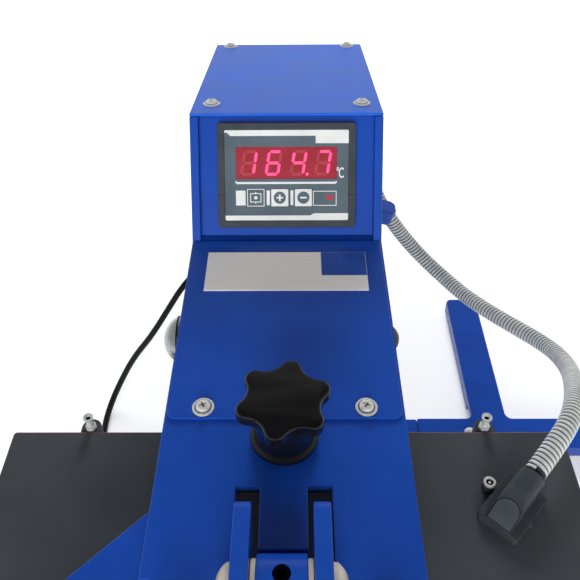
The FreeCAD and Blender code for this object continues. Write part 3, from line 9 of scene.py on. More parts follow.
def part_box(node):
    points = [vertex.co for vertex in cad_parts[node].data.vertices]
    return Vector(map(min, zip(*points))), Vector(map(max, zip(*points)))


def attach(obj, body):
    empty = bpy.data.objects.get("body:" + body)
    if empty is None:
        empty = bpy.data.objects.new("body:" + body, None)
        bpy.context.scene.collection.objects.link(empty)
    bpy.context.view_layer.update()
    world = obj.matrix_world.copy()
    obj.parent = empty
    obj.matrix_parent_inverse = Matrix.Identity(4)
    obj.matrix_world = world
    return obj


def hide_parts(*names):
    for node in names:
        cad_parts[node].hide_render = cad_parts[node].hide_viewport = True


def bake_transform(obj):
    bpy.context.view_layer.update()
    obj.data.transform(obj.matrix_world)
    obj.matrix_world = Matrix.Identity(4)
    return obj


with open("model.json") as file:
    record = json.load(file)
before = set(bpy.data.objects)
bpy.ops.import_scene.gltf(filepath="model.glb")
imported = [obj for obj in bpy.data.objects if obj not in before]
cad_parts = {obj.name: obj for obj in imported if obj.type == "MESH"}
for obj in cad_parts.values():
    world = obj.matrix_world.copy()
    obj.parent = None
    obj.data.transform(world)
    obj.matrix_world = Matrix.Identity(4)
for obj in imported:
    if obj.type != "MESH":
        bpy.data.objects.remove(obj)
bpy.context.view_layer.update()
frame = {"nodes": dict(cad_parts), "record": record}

nodes = frame["nodes"]
bodyOf = {node: body for body, names in frame["record"]["behaviour"]["bodies"].items() for node in names}
mm = 0.001
print("frame:", len(nodes), "nodes")


def linearColour(hexText, alpha=1.0):
    channels = [int(hexText[i:i + 2], 16) / 255 for i in (1, 3, 5)]
    return [c / 12.92 if c <= 0.04045 else ((c + 0.055) / 1.055) ** 2.4 for c in channels] + [alpha]


def newMaterial(name):
    material = bpy.data.materials.new(name)
    material.use_nodes = True
    return material, material.node_tree.nodes["Principled BSDF"]


def addNode(material, kind, inputs, **settings):
    node = material.node_tree.nodes.new(kind)
    for key, value in settings.items():
        setattr(node, key, value)
    for socket, value in inputs.items():
        if isinstance(value, bpy.types.NodeSocket):
            material.node_tree.links.new(value, node.inputs[socket])
        else:
            node.inputs[socket].default_value = value
    return node


def setShader(shader, **values):
    for key, value in values.items():
        socket = shader.inputs[key.replace("_", " ")]
        if isinstance(value, bpy.types.NodeSocket):
            socket.id_data.links.new(value, socket)
        else:
            socket.default_value = value


def addObject(name, data):
    thing = bpy.data.objects.new(name, data)
    bpy.context.scene.collection.objects.link(thing)
    return thing


def deselectAll():
    if bpy.context.object and bpy.context.object.mode != "OBJECT":
        bpy.ops.object.mode_set(mode="OBJECT")
    bpy.ops.object.select_all(action="DESELECT")


def makeActive(piece):
    deselectAll()
    piece.select_set(True)
    bpy.context.view_layer.objects.active = piece


def applyPlace(piece):
    # the place goes into the mesh and the object goes back to the origin
    makeActive(piece)
    bpy.ops.object.transform_apply(location=True, rotation=True, scale=True)


def placeTurned(piece, matrix):
    piece.matrix_world = matrix
    applyPlace(piece)


def applyModifier(piece, kind, **settings):
    makeActive(piece)
    modifier = piece.modifiers.new("shaped", kind)
    for key, value in settings.items():
        setattr(modifier, key, value)
    bpy.ops.object.modifier_apply(modifier=modifier.name)


def editWhole(piece):
    makeActive(piece)
    bpy.ops.object.mode_set(mode="EDIT")
    bpy.ops.mesh.select_all(action="SELECT")


def smoothBelow(degrees):
    bpy.ops.object.shade_smooth_by_angle(angle=math.radians(degrees))


def finishPiece(piece, name, finishKey, node, replaced=(), rides=True, place=Matrix()):
    # the piece belongs to the node: it rides on the node's body and gets its finish
    piece.name = piece.data.name = name
    placeTurned(piece, place)
    piece.data.materials.clear()
    piece.data.materials.append(finish[finishKey])
    if rides:
        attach(piece, bodyOf[node])
    if replaced:
        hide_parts(*replaced)
    return piece


cameraSetup = {
    "place": (0.00658, -0.53844, 0.62534),
    "lens": 42.386,
    "sensor": 36.0,
    "downTilt": 44.704,   # degrees below the level
    "turn": 0.742,        # degrees to the left of +Y
    "roll": 0.655,
    "nearest": 0.01,      # clip distance in metres
}


def makeCamera(setup):
    data = bpy.data.cameras.new("photoCamera")
    data.lens = setup["lens"]
    data.sensor_width = setup["sensor"]
    data.clip_start = setup["nearest"]
    camera = addObject("photoCamera", data)
    tilt, turn, roll = (math.radians(setup[key]) for key in ("downTilt", "turn", "roll"))
    ahead = Vector((-math.sin(turn) * math.cos(tilt), math.cos(turn) * math.cos(tilt), -math.sin(tilt)))
    right = ahead.cross(Vector((0, 0, 1))).normalized()
    up = right.cross(ahead)
    rolledRight = right * math.cos(roll) - up * math.sin(roll)
    rolledUp = up * math.cos(roll) + right * math.sin(roll)
    turnMatrix = Matrix((rolledRight, rolledUp, -ahead)).transposed()
    camera.matrix_world = Matrix.Translation(setup["place"]) @ turnMatrix.to_4x4()
    bpy.context.scene.camera = camera


makeCamera(cameraSetup)


def grainBump(material, shader, size, depth, strength=1.0, detail=2.0):
    # size and depth in mm: fine relief from a noise pattern
    coords = addNode(material, "ShaderNodeTexCoord", {})
    noise = addNode(material, "ShaderNodeTexNoise", {
        "Vector": coords.outputs["Object"], "Scale": 1 / (size * mm), "Detail": detail, "Roughness": 0.55})
    bump = addNode(material, "ShaderNodeBump", {
        "Height": noise.outputs["Fac"], "Distance": depth * mm, "Strength": strength})
    setShader(shader, Normal=bump.outputs["Normal"])
    return coords


def colourByNoise(material, shader, noise, dark, light, low, high):
    ramp = addNode(material, "ShaderNodeValToRGB", {"Fac": noise.outputs["Fac"]})
    for element, position, colour in zip(ramp.color_ramp.elements, (low, high), (dark, light)):
        element.position = position
        element.color = linearColour(colour)
    setShader(shader, Base_Color=ramp.outputs["Color"])


def patchyColour(material, shader, coords, light, dark, size):
    # slow change between two close colours, size in mm
    noise = addNode(material, "ShaderNodeTexNoise", {
        "Vector": coords.outputs["Object"], "Scale": 1 / (size * mm), "Detail": 3.0})
    colourByNoise(material, shader, noise, dark, light, low=0.35, high=0.65)
    return noise


def patchyRoughness(material, shader, noise, low, high):
    spread = addNode(material, "ShaderNodeMapRange", {
        "Value": noise.outputs["Fac"], "From Min": 0.3, "From Max": 0.7, "To Min": low, "To Max": high})
    setShader(shader, Roughness=spread.outputs["Result"])


def tintWhere(material, shader, factor, colour):
    # the colour takes over as the factor rises
    mixed = addNode(material, "ShaderNodeMix", {
        "Factor": factor, "A": shader.inputs["Base Color"].links[0].from_socket,
        "B": linearColour(colour)}, data_type="RGBA")
    setShader(shader, Base_Color=mixed.outputs["Result"])


def makeSurface(name, light, dark, roughness, patches, grain, depth, strength, detail=2.0):
    # fine relief, with colour and gloss that change slowly from patch to patch; sizes in mm
    material, shader = newMaterial(name)
    coords = grainBump(material, shader, grain, depth, strength, detail)
    patch = patchyColour(material, shader, coords, light, dark, patches)
    patchyRoughness(material, shader, patch, *roughness)
    return material, shader


def blueEnamel(name, light, dark):
    # powder coat baked on steel: satin gloss with a faint orange peel
    material, shader = makeSurface(
        name, light, dark, (0.3, 0.38), patches=45, grain=1.6, depth=0.02, strength=0.5)
    setShader(shader, IOR=1.5, Coat_Weight=0.05, Coat_Roughness=0.2)
    return material


# painted warm highlight along the cover's rear top edge: its place and reach in metres
rearEdgeHighlight = {"rear": -0.2717, "reach": 0.0005, "top": 0.2225, "drop": 0.0012, "colour": "#6d4f44"}


def charcoalCoating(edge):
    # non-stick coating on the heater's sheet cover: dark grey, dull and finely grained, with a painted warm
    # highlight along its rear top edge
    material, shader = makeSurface(
        "charcoalCoating", "#484c50", "#414549", (0.42, 0.52), patches=60, grain=0.9, depth=0.02, strength=0.6,
        detail=4.0)
    setShader(shader, IOR=1.45)
    coords = addNode(material, "ShaderNodeTexCoord", {})
    split = addNode(material, "ShaderNodeSeparateXYZ", {"Vector": coords.outputs["Object"]})
    rear = addNode(material, "ShaderNodeMath", {
        0: split.outputs["Y"], 1: edge["rear"], 2: edge["reach"]}, operation="COMPARE")
    upper = addNode(material, "ShaderNodeMath", {
        0: split.outputs["Z"], 1: edge["top"], 2: edge["drop"]}, operation="COMPARE")
    band = addNode(material, "ShaderNodeMath", {
        0: rear.outputs["Value"], 1: upper.outputs["Value"]}, operation="MULTIPLY")
    # the painted highlight's warm colour takes over in the band along the rear top edge
    tintWhere(material, shader, band.outputs["Value"], edge["colour"])
    return material


def plainMetal(name, light, dark, roughness, patches=12, metallic=1.0):
    # machined or plated metal with a fine grain, less metallic where the plating looks pale
    material, shader = makeSurface(
        name, light, dark, roughness, patches, grain=0.5, depth=0.008, strength=0.6)
    setShader(shader, Metallic=metallic)
    return material


def galvanisedStrip(light, dark, groove):
    # zinc-coated strip wound with its edges locked: bright bands, with painted shade darkening the grooves between
    # them
    material = plainMetal("galvanisedStrip", light, dark, (0.28, 0.4), patches=9, metallic=0.3)
    shader = material.node_tree.nodes["Principled BSDF"]
    depth = addNode(material, "ShaderNodeAttribute", {}, attribute_name="grooveDepth")
    shade = addNode(material, "ShaderNodeMapRange", {
        "Value": depth.outputs["Fac"], "From Min": 0.12, "From Max": 0.95, "To Min": 0.0, "To Max": 1.0})
    # the groove colour is painted shade, deepest where the strip dips
    tintWhere(material, shader, shade.outputs["Result"], groove)
    return material


def mouldedPlastic(name, light, dark, roughness, grain=0.6, depth=0.015):
    # moulded or printed face
    material, shader = makeSurface(name, light, dark, roughness, 15, grain, depth, strength=0.5)
    setShader(shader, IOR=1.5)
    return material


def brushedFoil(strokeLength, strokeWidth):
    # silver foil with fine strokes along its width, which draw the highlight into a band
    material, shader = newMaterial("brushedFoil")
    coords = addNode(material, "ShaderNodeTexCoord", {})
    stretch = addNode(material, "ShaderNodeMapping", {
        "Vector": coords.outputs["Object"],
        "Scale": (1 / (strokeLength * mm), 1 / (strokeWidth * mm), 1 / (strokeLength * mm))})
    strokes = addNode(material, "ShaderNodeTexNoise", {
        "Vector": stretch.outputs["Vector"], "Scale": 1.0, "Detail": 3.0})
    colourByNoise(material, shader, strokes, "#f3efea", "#fdfaf6", low=0.3, high=0.7)
    bump = addNode(material, "ShaderNodeBump", {
        "Height": strokes.outputs["Fac"], "Distance": 0.02 * mm, "Strength": 0.4})
    setShader(shader, Normal=bump.outputs["Normal"], Metallic=0.1, Roughness=0.4)
    return material


def lightDiode(name, colour, dim, glow):
    # lit segment of a display, seen through the red window
    material, shader = newMaterial(name)
    coords = grainBump(material, shader, size=0.4, depth=0.004, strength=0.3)
    patchyColour(material, shader, coords, colour, dim, size=6)
    setShader(shader, Roughness=0.35, Emission_Color=linearColour(colour), Emission_Strength=glow)
    return material


# light and dark colour, lowest and highest roughness, and the grain's size and depth in mm
finish = {
    "blue": blueEnamel("bluePowderCoat", "#144cb4", "#1246a8"),     # even deep blue
    "lidBlue": blueEnamel("litLidPowderCoat", "#2467dc", "#2160d0"),   # the same coat, painted paler on the lid as painted light from behind
    "charcoal": charcoalCoating(rearEdgeHighlight),
    "nameFoil": brushedFoil(strokeLength=22, strokeWidth=0.35),
    # pale silver sheen of plated screws
    "zinc": plainMetal("brightZincPlate", "#fbfbf6", "#ecece6", (0.14, 0.22), metallic=0.42),
    # ground rods and shafts: grey with clear reflections
    "steel": plainMetal("groundSteel", "#b9bbbd", "#9fa2a5", (0.22, 0.34)),
    # satin silver of milled plate edges
    "aluminium": plainMetal("milledAluminium", "#b9babb", "#a5a7a9", (0.3, 0.42)),
    # porous brown gold of pressed bushes
    "bronze": plainMetal("sinteredBronze", "#b08a50", "#8f6d3d", (0.35, 0.5)),
    # oiled black of blued screws
    "blackOxide": plainMetal("blackOxideSteel", "#2a2a2b", "#1c1c1d", (0.3, 0.42)),
    # zinc strip: pale bands with painted shade in the grooves
    "strip": galvanisedStrip("#f4f6f3", "#dde2df", "#565e61"),
    # straw brown of an element that has been hot
    "sheath": plainMetal("heatedSheath", "#6d655c", "#4f4943", (0.4, 0.55)),
    # polished black of a hard moulded knob
    "knobBlack": mouldedPlastic("phenolicBlack", "#121214", "#0f0f11", (0.14, 0.2), grain=2.5, depth=0.004),
    # satin black of housings, and the paler grey of the bezel
    "caseBlack": mouldedPlastic("mouldedCaseBlack", "#3a3f44", "#33383c", (0.45, 0.55)),
    "bezelGrey": mouldedPlastic("bezelGrey", "#42474e", "#3b4046", (0.4, 0.5)),
    # dull black with a soft grain
    "gripRubber": mouldedPlastic("gripRubber", "#1d1d1e", "#151516", (0.55, 0.7), grain=0.8, depth=0.03),
    # grey black with a faint fibre grain, its coarser pad, and the shadow of a parting line
    "connectorGrey": mouldedPlastic("glassFilledNylon", "#3f454a", "#383d42", (0.4, 0.52), grain=0.8, depth=0.03),
    "padGrey": mouldedPlastic("grainedNylon", "#4e555b", "#454b51", (0.5, 0.62), grain=0.8, depth=0.05),
    "darkLine": mouldedPlastic("darkLine", "#16181a", "#121315", (0.6, 0.7)),
    # smooth satin black jacket
    "cordBlack": mouldedPlastic("cordJacket", "#1b1c1e", "#141517", (0.42, 0.52)),
    # matt red brown with open cells
    "silicone": mouldedPlastic("siliconeSponge", "#8a3f24", "#7a351d", (0.6, 0.75), grain=1.2, depth=0.06),
    # smooth cream with a low gloss
    "cream": mouldedPlastic("creamNylon", "#dcd3c2", "#cfc5b2", (0.25, 0.35)),
    # printed foils and inks: flat colours with a soft shine
    "faceSlate": mouldedPlastic("slateFoil", "#5c6b75", "#55646e", (0.3, 0.38)),
    "whiteInk": mouldedPlastic("whiteInk", "#eef0ef", "#e2e5e4", (0.35, 0.45)),
    "blueInk": mouldedPlastic("blueInk", "#2653b0", "#224ca4", (0.3, 0.4)),
    # glossy red filter with its unlit and lit segments
    "windowRed": mouldedPlastic("redWindow", "#a83040", "#9c2a39", (0.12, 0.18)),
    "segmentOff": mouldedPlastic("segmentOff", "#b8454f", "#b03f49", (0.2, 0.3)),
    "segmentLit": lightDiode("segmentLit", "#ff4a80", "#ff4a70", glow=1.0),
    # chalky white felt of ceramic fibre
    "wool": mouldedPlastic("ceramicWool", "#e4dfd4", "#cfc8ba", (0.85, 0.95), grain=2.0, depth=0.4),
}


# nodes that keep their own form, by finish, each with its edge bevel in mm
dressed = {
    "blue": {
        "back_panel": 0.5, "base_frame": 1.2, "column": 0.8, "conduit_lug": 0.9, "cover_sheet": 0.6,
        "front_panel": 0, "head_beam": 0.8, "lever_arms": 0.7, "outrigger": 1.2, "platen_pedestal": 1.0,
        "platen_yoke": 0.8, "pressure_arm": 0.7, "swing_bracket": 0.8,
    },
    # the lid gets the blue coat painted paler, as painted light
    "lidBlue": {"box_lid": 0.7},
    "charcoal": {"heater_cover": 0},
    "nameFoil": {"nameplate": 0},
    "zinc": {"base_screws": 0, "conduit_fittings": 0.6, "platen_studs": 0.5},
    "steel": {
        "guide_rods": 0, "handle_bar": 0.6, "lever_shaft": 0, "load_pin": 0, "pressure_block": 0.6,
        "spindle": 0.4, "swing_pin": 0.6, "temperature_probe": 0,
    },
    "aluminium": {"heater_plate": 0.6, "lower_platen": 0.8},
    "bronze": {"bronze_bushes": 0, "pressure_pad": 0.4},
    "sheath": {"heating_element": 0},
    "caseBlack": {"cable_gland": 0.4, "controller_case": 0, "switch_body": 0.5, "switch_rocker": 0.4},
    "bezelGrey": {"controller_bezel": 0.7},
    "gripRubber": {"handle_grips": 0, "rubber_feet": 0.8, "swing_grip": 0},
    "connectorGrey": {"heater_connector": 0.5},
    "silicone": {"silicone_pad": 1.0},
    "cream": {"nylon_washers": 0.4, "shaft_caps": 0},
    "faceSlate": {"controller_face": 0},
    "windowRed": {"display_window": 0},
    "segmentOff": {"led_display": 0},
    "wool": {"insulation_blanket": 2.0},
}
# these keep the CAD node's own mesh and only get their finish
plainNodes = ["controller_case", "heating_element", "front_panel", "led_display"]
meshCare = {"mergeWithin": 0.002, "flatWithin": 0.8, "bevelOver": 40, "sharpOver": 32}   # mm, then degrees


def pieceName(node):
    first, *rest = node.split("_")
    return first + "".join(word.capitalize() for word in rest)


def dressNode(node, finishKey, bevelWidth, care=meshCare):
    # the node's own form, its loose triangles joined, flat faces cleared and edges eased
    piece = addObject(pieceName(node), nodes[node].data.copy())
    editWhole(piece)
    bpy.ops.mesh.remove_doubles(threshold=care["mergeWithin"] * mm)
    bpy.ops.mesh.dissolve_limited(angle_limit=math.radians(care["flatWithin"]))
    bpy.ops.object.mode_set(mode="OBJECT")
    if bevelWidth:
        applyModifier(piece, "BEVEL", width=bevelWidth * mm, segments=2, limit_method="ANGLE",
                      angle_limit=math.radians(care["bevelOver"]), use_clamp_overlap=False,
                      miter_outer="MITER_ARC")
    low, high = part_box(node)
    for vertex in piece.data.vertices:
        # an acute corner's bevel stays inside the node's own box
        vertex.co = Vector([min(max(c, a), b) for c, a, b in zip(vertex.co, low, high)])
    smoothBelow(care["bevelOver"] if bevelWidth else care["sharpOver"])
    if bevelWidth:
        applyModifier(piece, "WEIGHTED_NORMAL", keep_sharp=True)
    return finishPiece(piece, pieceName(node), finishKey, node, [node])


mainsLead = {
    "diameter": 6.6,
    "length": 1.555,
    "settled": (-158, -48, 56),   # from here on the lead stays with the base
    "route": [
        (-48, 47, 160), (-48, 47, 136), (-60, 38, 118), (-78, 25, 112),
        (-100, 12, 114), (-118, -6, 104), (-134.5, -23.5, 84.6), (-152.5, -40.5, 62.5),
        (-173, -55, 43), (-187, -71, 24), (-197.5, -91, 9), (-201, -117, 3.4),
        (-197, -152, 3.4), (-197, -192, 3.4),
    ],
    "halfTurns": 10,
    "inwardHalfTurns": 5,
    "firstRadius": 45,
    "spacing": 7.2,
    "pointsPerHalfTurn": 8,
    "plugHeight": 19.2,
    "plugBevel": 0.5,
    "tailBend": 42,
    "smoothness": 8,       # points of the tube between two of the route
}


def coilPoints(lead):
    # the put-away lead: a flat coil, inwards below and outwards on top, then up to the plug
    points = []
    corner = Vector(lead["route"][-1]) - Vector((0, lead["diameter"], 0))
    radius = lead["firstRadius"]
    count = lead["pointsPerHalfTurn"]
    for halfTurn in range(lead["halfTurns"]):
        side = -1 if halfTurn % 2 == 0 else 1
        climb = lead["spacing"] if halfTurn == lead["inwardHalfTurns"] else 0
        centre = corner + Vector((side * radius, 0, 0))
        for step in range(count):
            angle = math.pi * (step + 0.5) / count
            points.append(centre + Vector((
                -side * radius * math.cos(angle), side * radius * math.sin(angle),
                climb * (1 - math.cos(angle)) / 2)))
        corner = corner + Vector((side * 2 * radius, 0, climb))
        radius += lead["spacing"] / 2 * (-1 if halfTurn < lead["inwardHalfTurns"] else 1)
    rise = lead["plugHeight"] - corner.z
    bend = math.acos(1 - rise / (2 * lead["tailBend"]))
    reach = 2 * lead["tailBend"] * math.sin(bend)
    points.append(corner)
    for along, share in ((0.25, 0), (0.75, 1), (1, 1)):
        points.append(corner + Vector((0, -reach * along, rise * share)))
    points.append(corner + Vector((0, -reach - lead["diameter"], rise)))
    return points


def splineCurve(name, points, radius, resolution):
    data = bpy.data.curves.new(name, "CURVE")
    data.dimensions = "3D"
    spline = data.splines.new("NURBS")
    spline.points.add(len(points) - 1)
    for point, place in zip(spline.points, points):
        point.co = (*(Vector(place) * mm), 1)
    spline.order_u = 3
    spline.use_endpoint_u = True
    data.resolution_u = resolution
    data.bevel_depth = radius * mm
    data.bevel_resolution = 5
    data.use_fill_caps = True
    return addObject(name, data)


def centreLine(points, resolution):
    # points in metres along the route's own spline
    guide = splineCurve("route", points, 0, resolution)
    shown = guide.evaluated_get(bpy.context.evaluated_depsgraph_get())
    mesh = bpy.data.meshes.new_from_object(shown)
    line = [vertex.co.copy() for vertex in mesh.vertices]
    bpy.data.meshes.remove(mesh)
    bpy.data.objects.remove(guide)
    return line


def makeMainsLead(lead):
    plug = dressNode("mains_plug", "caseBlack", lead["plugBevel"])
    points = lead["route"] + coilPoints(lead)
    line = centreLine(points, lead["smoothness"])
    makeActive(splineCurve("mainsLead", points, lead["diameter"] / 2, lead["smoothness"]))
    bpy.ops.object.convert(target="MESH")
    piece = bpy.context.object
    finishPiece(piece, "mainsLead", "cordBlack", "mains_cord", ["mains_cord", "mains_coil"], rides=False)
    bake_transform(piece)


conduit = {
    "diameter": 14,
    "length": 0.473,
    "pitch": 3.3,          # one turn of the interlocked strip
    "groove": 0.7,
    "route": [
        (75.5, -11.5, 277), (75.5, -11.5, 261), (77.5, -13.5, 247), (84.5, -17.5, 230.5),
        (95.5, -22, 213.5), (110.5, -26.5, 193), (129, -35, 174.5), (148.5, -51, 163),
        (166.5, -76, 161), (182.5, -103, 167), (199, -127, 173), (214, -147.5, 178),
        (222.5, -169, 186), (222, -193, 198.5), (215, -217.5, 214), (205, -241, 230),
        (196, -261.5, 241.5), (185.5, -280.5, 246.5), (171, -298, 244.7), (154.3, -315.9, 240.5),
    ],
    # share of the pitch and depth as a share of the groove
    "profile": [(0, 1), (0.12, 1), (0.17, 0.4), (0.28, 0.1), (0.5, 0), (0.7, 0.12), (0.83, 0.45), (0.9, 0.95)],
    "sides": 28,
    "smoothness": 16,
}


def walkLine(line):
    # gives the place and direction at a distance along the line, and the line's whole length
    lengths = [0.0]
    for a, b in zip(line, line[1:]):
        lengths.append(lengths[-1] + (b - a).length)

    def pointAt(distance):
        distance = min(max(distance, 0.0), lengths[-1])
        index = 1
        while index < len(lengths) - 1 and lengths[index] < distance:
            index += 1
        share = (distance - lengths[index - 1]) / (lengths[index] - lengths[index - 1])
        place = line[index - 1].lerp(line[index], share)
        before = line[max(index - 2, 0)]
        after = line[min(index + 1, len(line) - 1)]
        return place, (after - before).normalized()
    return pointAt, lengths[-1]


def makeConduit(setup):
    line = centreLine(setup["route"], setup["smoothness"])
    pointAt, total = walkLine(line)
    pitch = setup["pitch"] * mm
    sides, profile = setup["sides"], setup["profile"]
    turns = int(total / pitch) - 1
    mesh = bmesh.new()
    grooved = mesh.verts.layers.float.new("grooveDepth")
    rows = []
    for turn in range(turns):
        for share, depth in profile:
            row = []
            for side in range(sides):
                # each row climbs one pitch in a full round, as the wound strip does
                place, along = pointAt((turn + share + side / sides) * pitch)
                level = along.cross(Vector((1, 0, 0))).normalized()
                upward = level.cross(along)
                angle = 2 * math.pi * side / sides
                radius = (setup["diameter"] / 2 - setup["groove"] * depth) * mm
                vertex = mesh.verts.new(place + (level * math.cos(angle) + upward * math.sin(angle)) * radius)
                vertex[grooved] = depth
                row.append(vertex)
            rows.append(row)
    step = len(profile)
    for index, (row, following) in enumerate(zip(rows, rows[1:])):
        for side in range(sides - 1):
            mesh.faces.new((row[side], row[side + 1], following[side + 1], following[side]))
        if index + step + 1 < len(rows):
            # the last side of a turn meets the first side of the next one
            mesh.faces.new((row[-1], rows[index + step][0], rows[index + step + 1][0], following[-1]))
    bmesh.ops.holes_fill(mesh, edges=[edge for edge in mesh.edges if edge.is_boundary], sides=0)
    bmesh.ops.recalc_face_normals(mesh, faces=mesh.faces)
    data = bpy.data.meshes.new("conduitStrip")
    mesh.to_mesh(data)
    mesh.free()
    piece = addObject("conduitStrip", data)
    makeActive(piece)
    smoothBelow(50)
    finishPiece(piece, "conduitStrip", "strip", "metal_conduit", ["metal_conduit"], rides=False)
    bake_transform(piece)


makeMainsLead(mainsLead)
makeConduit(conduit)
print("cords laid")

for finishKey, group in dressed.items():
    for node, bevelWidth in group.items():
        if node in plainNodes:
            nodes[node].data.materials.clear()
            nodes[node].data.materials.append(finish[finishKey])
        else:
            dressNode(node, finishKey, bevelWidth)
print("nodes dressed")


def at(x, y, z):
    return Matrix.Translation(Vector((x, y, z)) * mm)


def turned(degrees, axis):
    return Matrix.Rotation(math.radians(degrees), 4, axis)


def drawPath(points):
    # drawn point by point in mm, each extruded from the one before, and left selected in edit mode
    deselectAll()
    bpy.ops.mesh.primitive_plane_add(size=mm)
    piece = bpy.context.object
    editWhole(piece)
    bpy.ops.mesh.merge(type="CENTER")
    bpy.ops.transform.translate(value=[c * mm for c in points[0]])
    for before, point in zip(points, points[1:]):
        bpy.ops.mesh.extrude_vertices_move(TRANSFORM_OT_translate={
            "value": [(b - a) * mm for a, b in zip(before, point)]})
    bpy.ops.mesh.select_all(action="SELECT")
    return piece


def turnProfile(profile, steps=32, smooth=32):
    # profile of (radius, height) in mm, spun round the upright axis
    piece = drawPath([(radius, 0, height) for radius, height in profile])
    bpy.ops.mesh.spin(steps=steps, angle=2 * math.pi, center=(0, 0, 0), axis=(0, 0, 1))
    bpy.ops.mesh.select_all(action="SELECT")
    bpy.ops.mesh.remove_doubles(threshold=0.004 * mm)
    bpy.ops.mesh.normals_make_consistent(inside=False)
    bpy.ops.object.mode_set(mode="OBJECT")
    smoothBelow(smooth)
    return piece


def raiseOutline(points, thickness):
    # flat outline of (x, y) in mm, filled and extruded upwards
    piece = drawPath([(x, y, 0) for x, y in points])
    bpy.ops.mesh.edge_face_add()
    bpy.ops.mesh.extrude_region_move(TRANSFORM_OT_translate={"value": (0, 0, thickness * mm)})
    bpy.ops.mesh.select_all(action="SELECT")
    bpy.ops.mesh.normals_make_consistent(inside=False)
    bpy.ops.object.mode_set(mode="OBJECT")
    return piece


def joinPieces(pieces):
    deselectAll()
    for piece in pieces:
        piece.select_set(True)
    bpy.context.view_layer.objects.active = pieces[0]
    if len(pieces) > 1:
        bpy.ops.object.join()
    return pieces[0]


def copiesAt(source, places):
    # one copy of a modelled piece at each place, joined as one group
    copies = [addObject(source.name, source.data.copy()) for place in places]
    for piece, place in zip(copies, places):
        placeTurned(piece, place)
    bpy.data.objects.remove(source)
    return joinPieces(copies)


def cutOut(piece, cutter):
    applyModifier(piece, "BOOLEAN", operation="DIFFERENCE", solver="EXACT", object=cutter)
    bpy.data.objects.remove(cutter)
    smoothBelow(32)
    return piece


def hexCutter(acrossFlats, low, high):
    deselectAll()
    bpy.ops.mesh.primitive_cylinder_add(
        vertices=6, radius=acrossFlats / math.sqrt(3) * mm, depth=(high - low) * mm,
        location=(0, 0, (high + low) / 2 * mm))
    cutter = bpy.context.object
    applyPlace(cutter)
    return cutter


def crossCutter(reach, width, low, high, narrowing):
    # two crossed wedges that narrow downwards, as a cross driver's tip
    outline = [
        (-reach, -width), (-width, -width), (-width, -reach), (width, -reach), (width, -width), (reach, -width),
        (reach, width), (width, width), (width, reach), (-width, reach), (-width, width), (-reach, width)]
    cutter = raiseOutline(outline, high - low)
    lowest = min(vertex.co.z for vertex in cutter.data.vertices)
    for vertex in cutter.data.vertices:
        if vertex.co.z < lowest + 0.1 * mm:
            vertex.co.x *= narrowing
            vertex.co.y *= narrowing
        vertex.co.z += low * mm
    return cutter


beamHalf = 67.0
platenTop = 222.5


def circlePoint(radius, angle, middle=(0, 0)):
    # angle in radians from +X
    return Vector(middle) + Vector((math.cos(angle), math.sin(angle))) * radius


def raised(profile, level):
    return [(radius, level + height) for radius, height in profile]


# star knob of glossy phenolic: six round lobes on a flared hub
starKnob = {
    "middle": (0, -333),
    "low": 311.5, "starLow": 338, "starTop": 347.5,
    "reach": 25, "lobeRadius": 5.5, "valleyRadius": 11,
    "lobes": 6, "firstLobe": 78.9, "arcPoints": 9,
    "rounding": 1.5,
    "crown": [(2, 0.42), (2.6, 0.42), (3, 0.34), (3.2, 0.2), (3, 0.08)],   # inset and rise of each step
    "hub": [
        (0, 0), (17.6, 0), (18.4, 0.6), (18.5, 1.6), (18.2, 2.8), (17.2, 3.5), (16.2, 4.2), (15.7, 5.4),
        (15.5, 7), (15.5, 18.5), (15.9, 21), (16.8, 23.6), (18, 26.6), (18, 27.6), (0, 27.6)],
}


def starOutline(setup):
    # each lobe's arc is followed by the hollow arc to the next lobe
    half = math.pi / setup["lobes"]
    last = setup["arcPoints"] - 1
    lobeCircle = setup["reach"] - setup["lobeRadius"]
    span = setup["lobeRadius"] + setup["valleyRadius"]
    aside = lobeCircle * math.sin(half)
    valleyCircle = lobeCircle * math.cos(half) + math.sqrt(span ** 2 - aside ** 2)

    def arc(middle, radius, start, turn, steps):
        return [tuple(circlePoint(radius, start + turn * step / last, middle)) for step in steps]

    outline = []
    for index in range(setup["lobes"]):
        angle = math.radians(setup["firstLobe"]) + 2 * half * index
        lobe = circlePoint(lobeCircle, angle)
        before = circlePoint(valleyCircle, angle - half)
        after = circlePoint(valleyCircle, angle + half)
        nextLobe = circlePoint(lobeCircle, angle + 2 * half)
        start = math.atan2(*(before - lobe).yx)
        turn = (math.atan2(*(after - lobe).yx) - start) % (2 * math.pi)
        outline += arc(lobe, setup["lobeRadius"], start, turn, range(last + 1))
        start = math.atan2(*(lobe - after).yx)
        turn = (start - math.atan2(*(nextLobe - after).yx)) % (2 * math.pi)
        outline += arc(after, setup["valleyRadius"], start, -turn, range(1, last))
    return outline


def makeStarKnob(setup):
    crownHeight = sum(rise for inset, rise in setup["crown"])
    star = raiseOutline(starOutline(setup), setup["starTop"] - crownHeight - setup["starLow"])
    editWhole(star)
    bpy.ops.mesh.select_all(action="DESELECT")
    shape = bmesh.from_edit_mesh(star.data)
    highest = max(vertex.co.z for vertex in shape.verts)
    for face in shape.faces:
        face.select_set(face.normal.z > 0.9 and face.calc_center_median().z > highest - 0.1 * mm)
    bmesh.update_edit_mesh(star.data)
    # the top is slightly crowned
    for inset, rise in setup["crown"]:
        bpy.ops.mesh.inset(thickness=inset * mm, depth=rise * mm)
    bpy.ops.object.mode_set(mode="OBJECT")
    applyModifier(star, "BEVEL", width=setup["rounding"] * mm, segments=4, limit_method="ANGLE",
                  angle_limit=math.radians(50), use_clamp_overlap=False)
    placeTurned(star, at(*setup["middle"], setup["starLow"]))
    hub = turnProfile(setup["hub"], 48)
    placeTurned(hub, at(*setup["middle"], setup["low"]))
    knob = joinPieces([star, hub])
    smoothBelow(40)
    finishPiece(knob, "starKnob", "knobBlack", "star_knob", ["star_knob"])


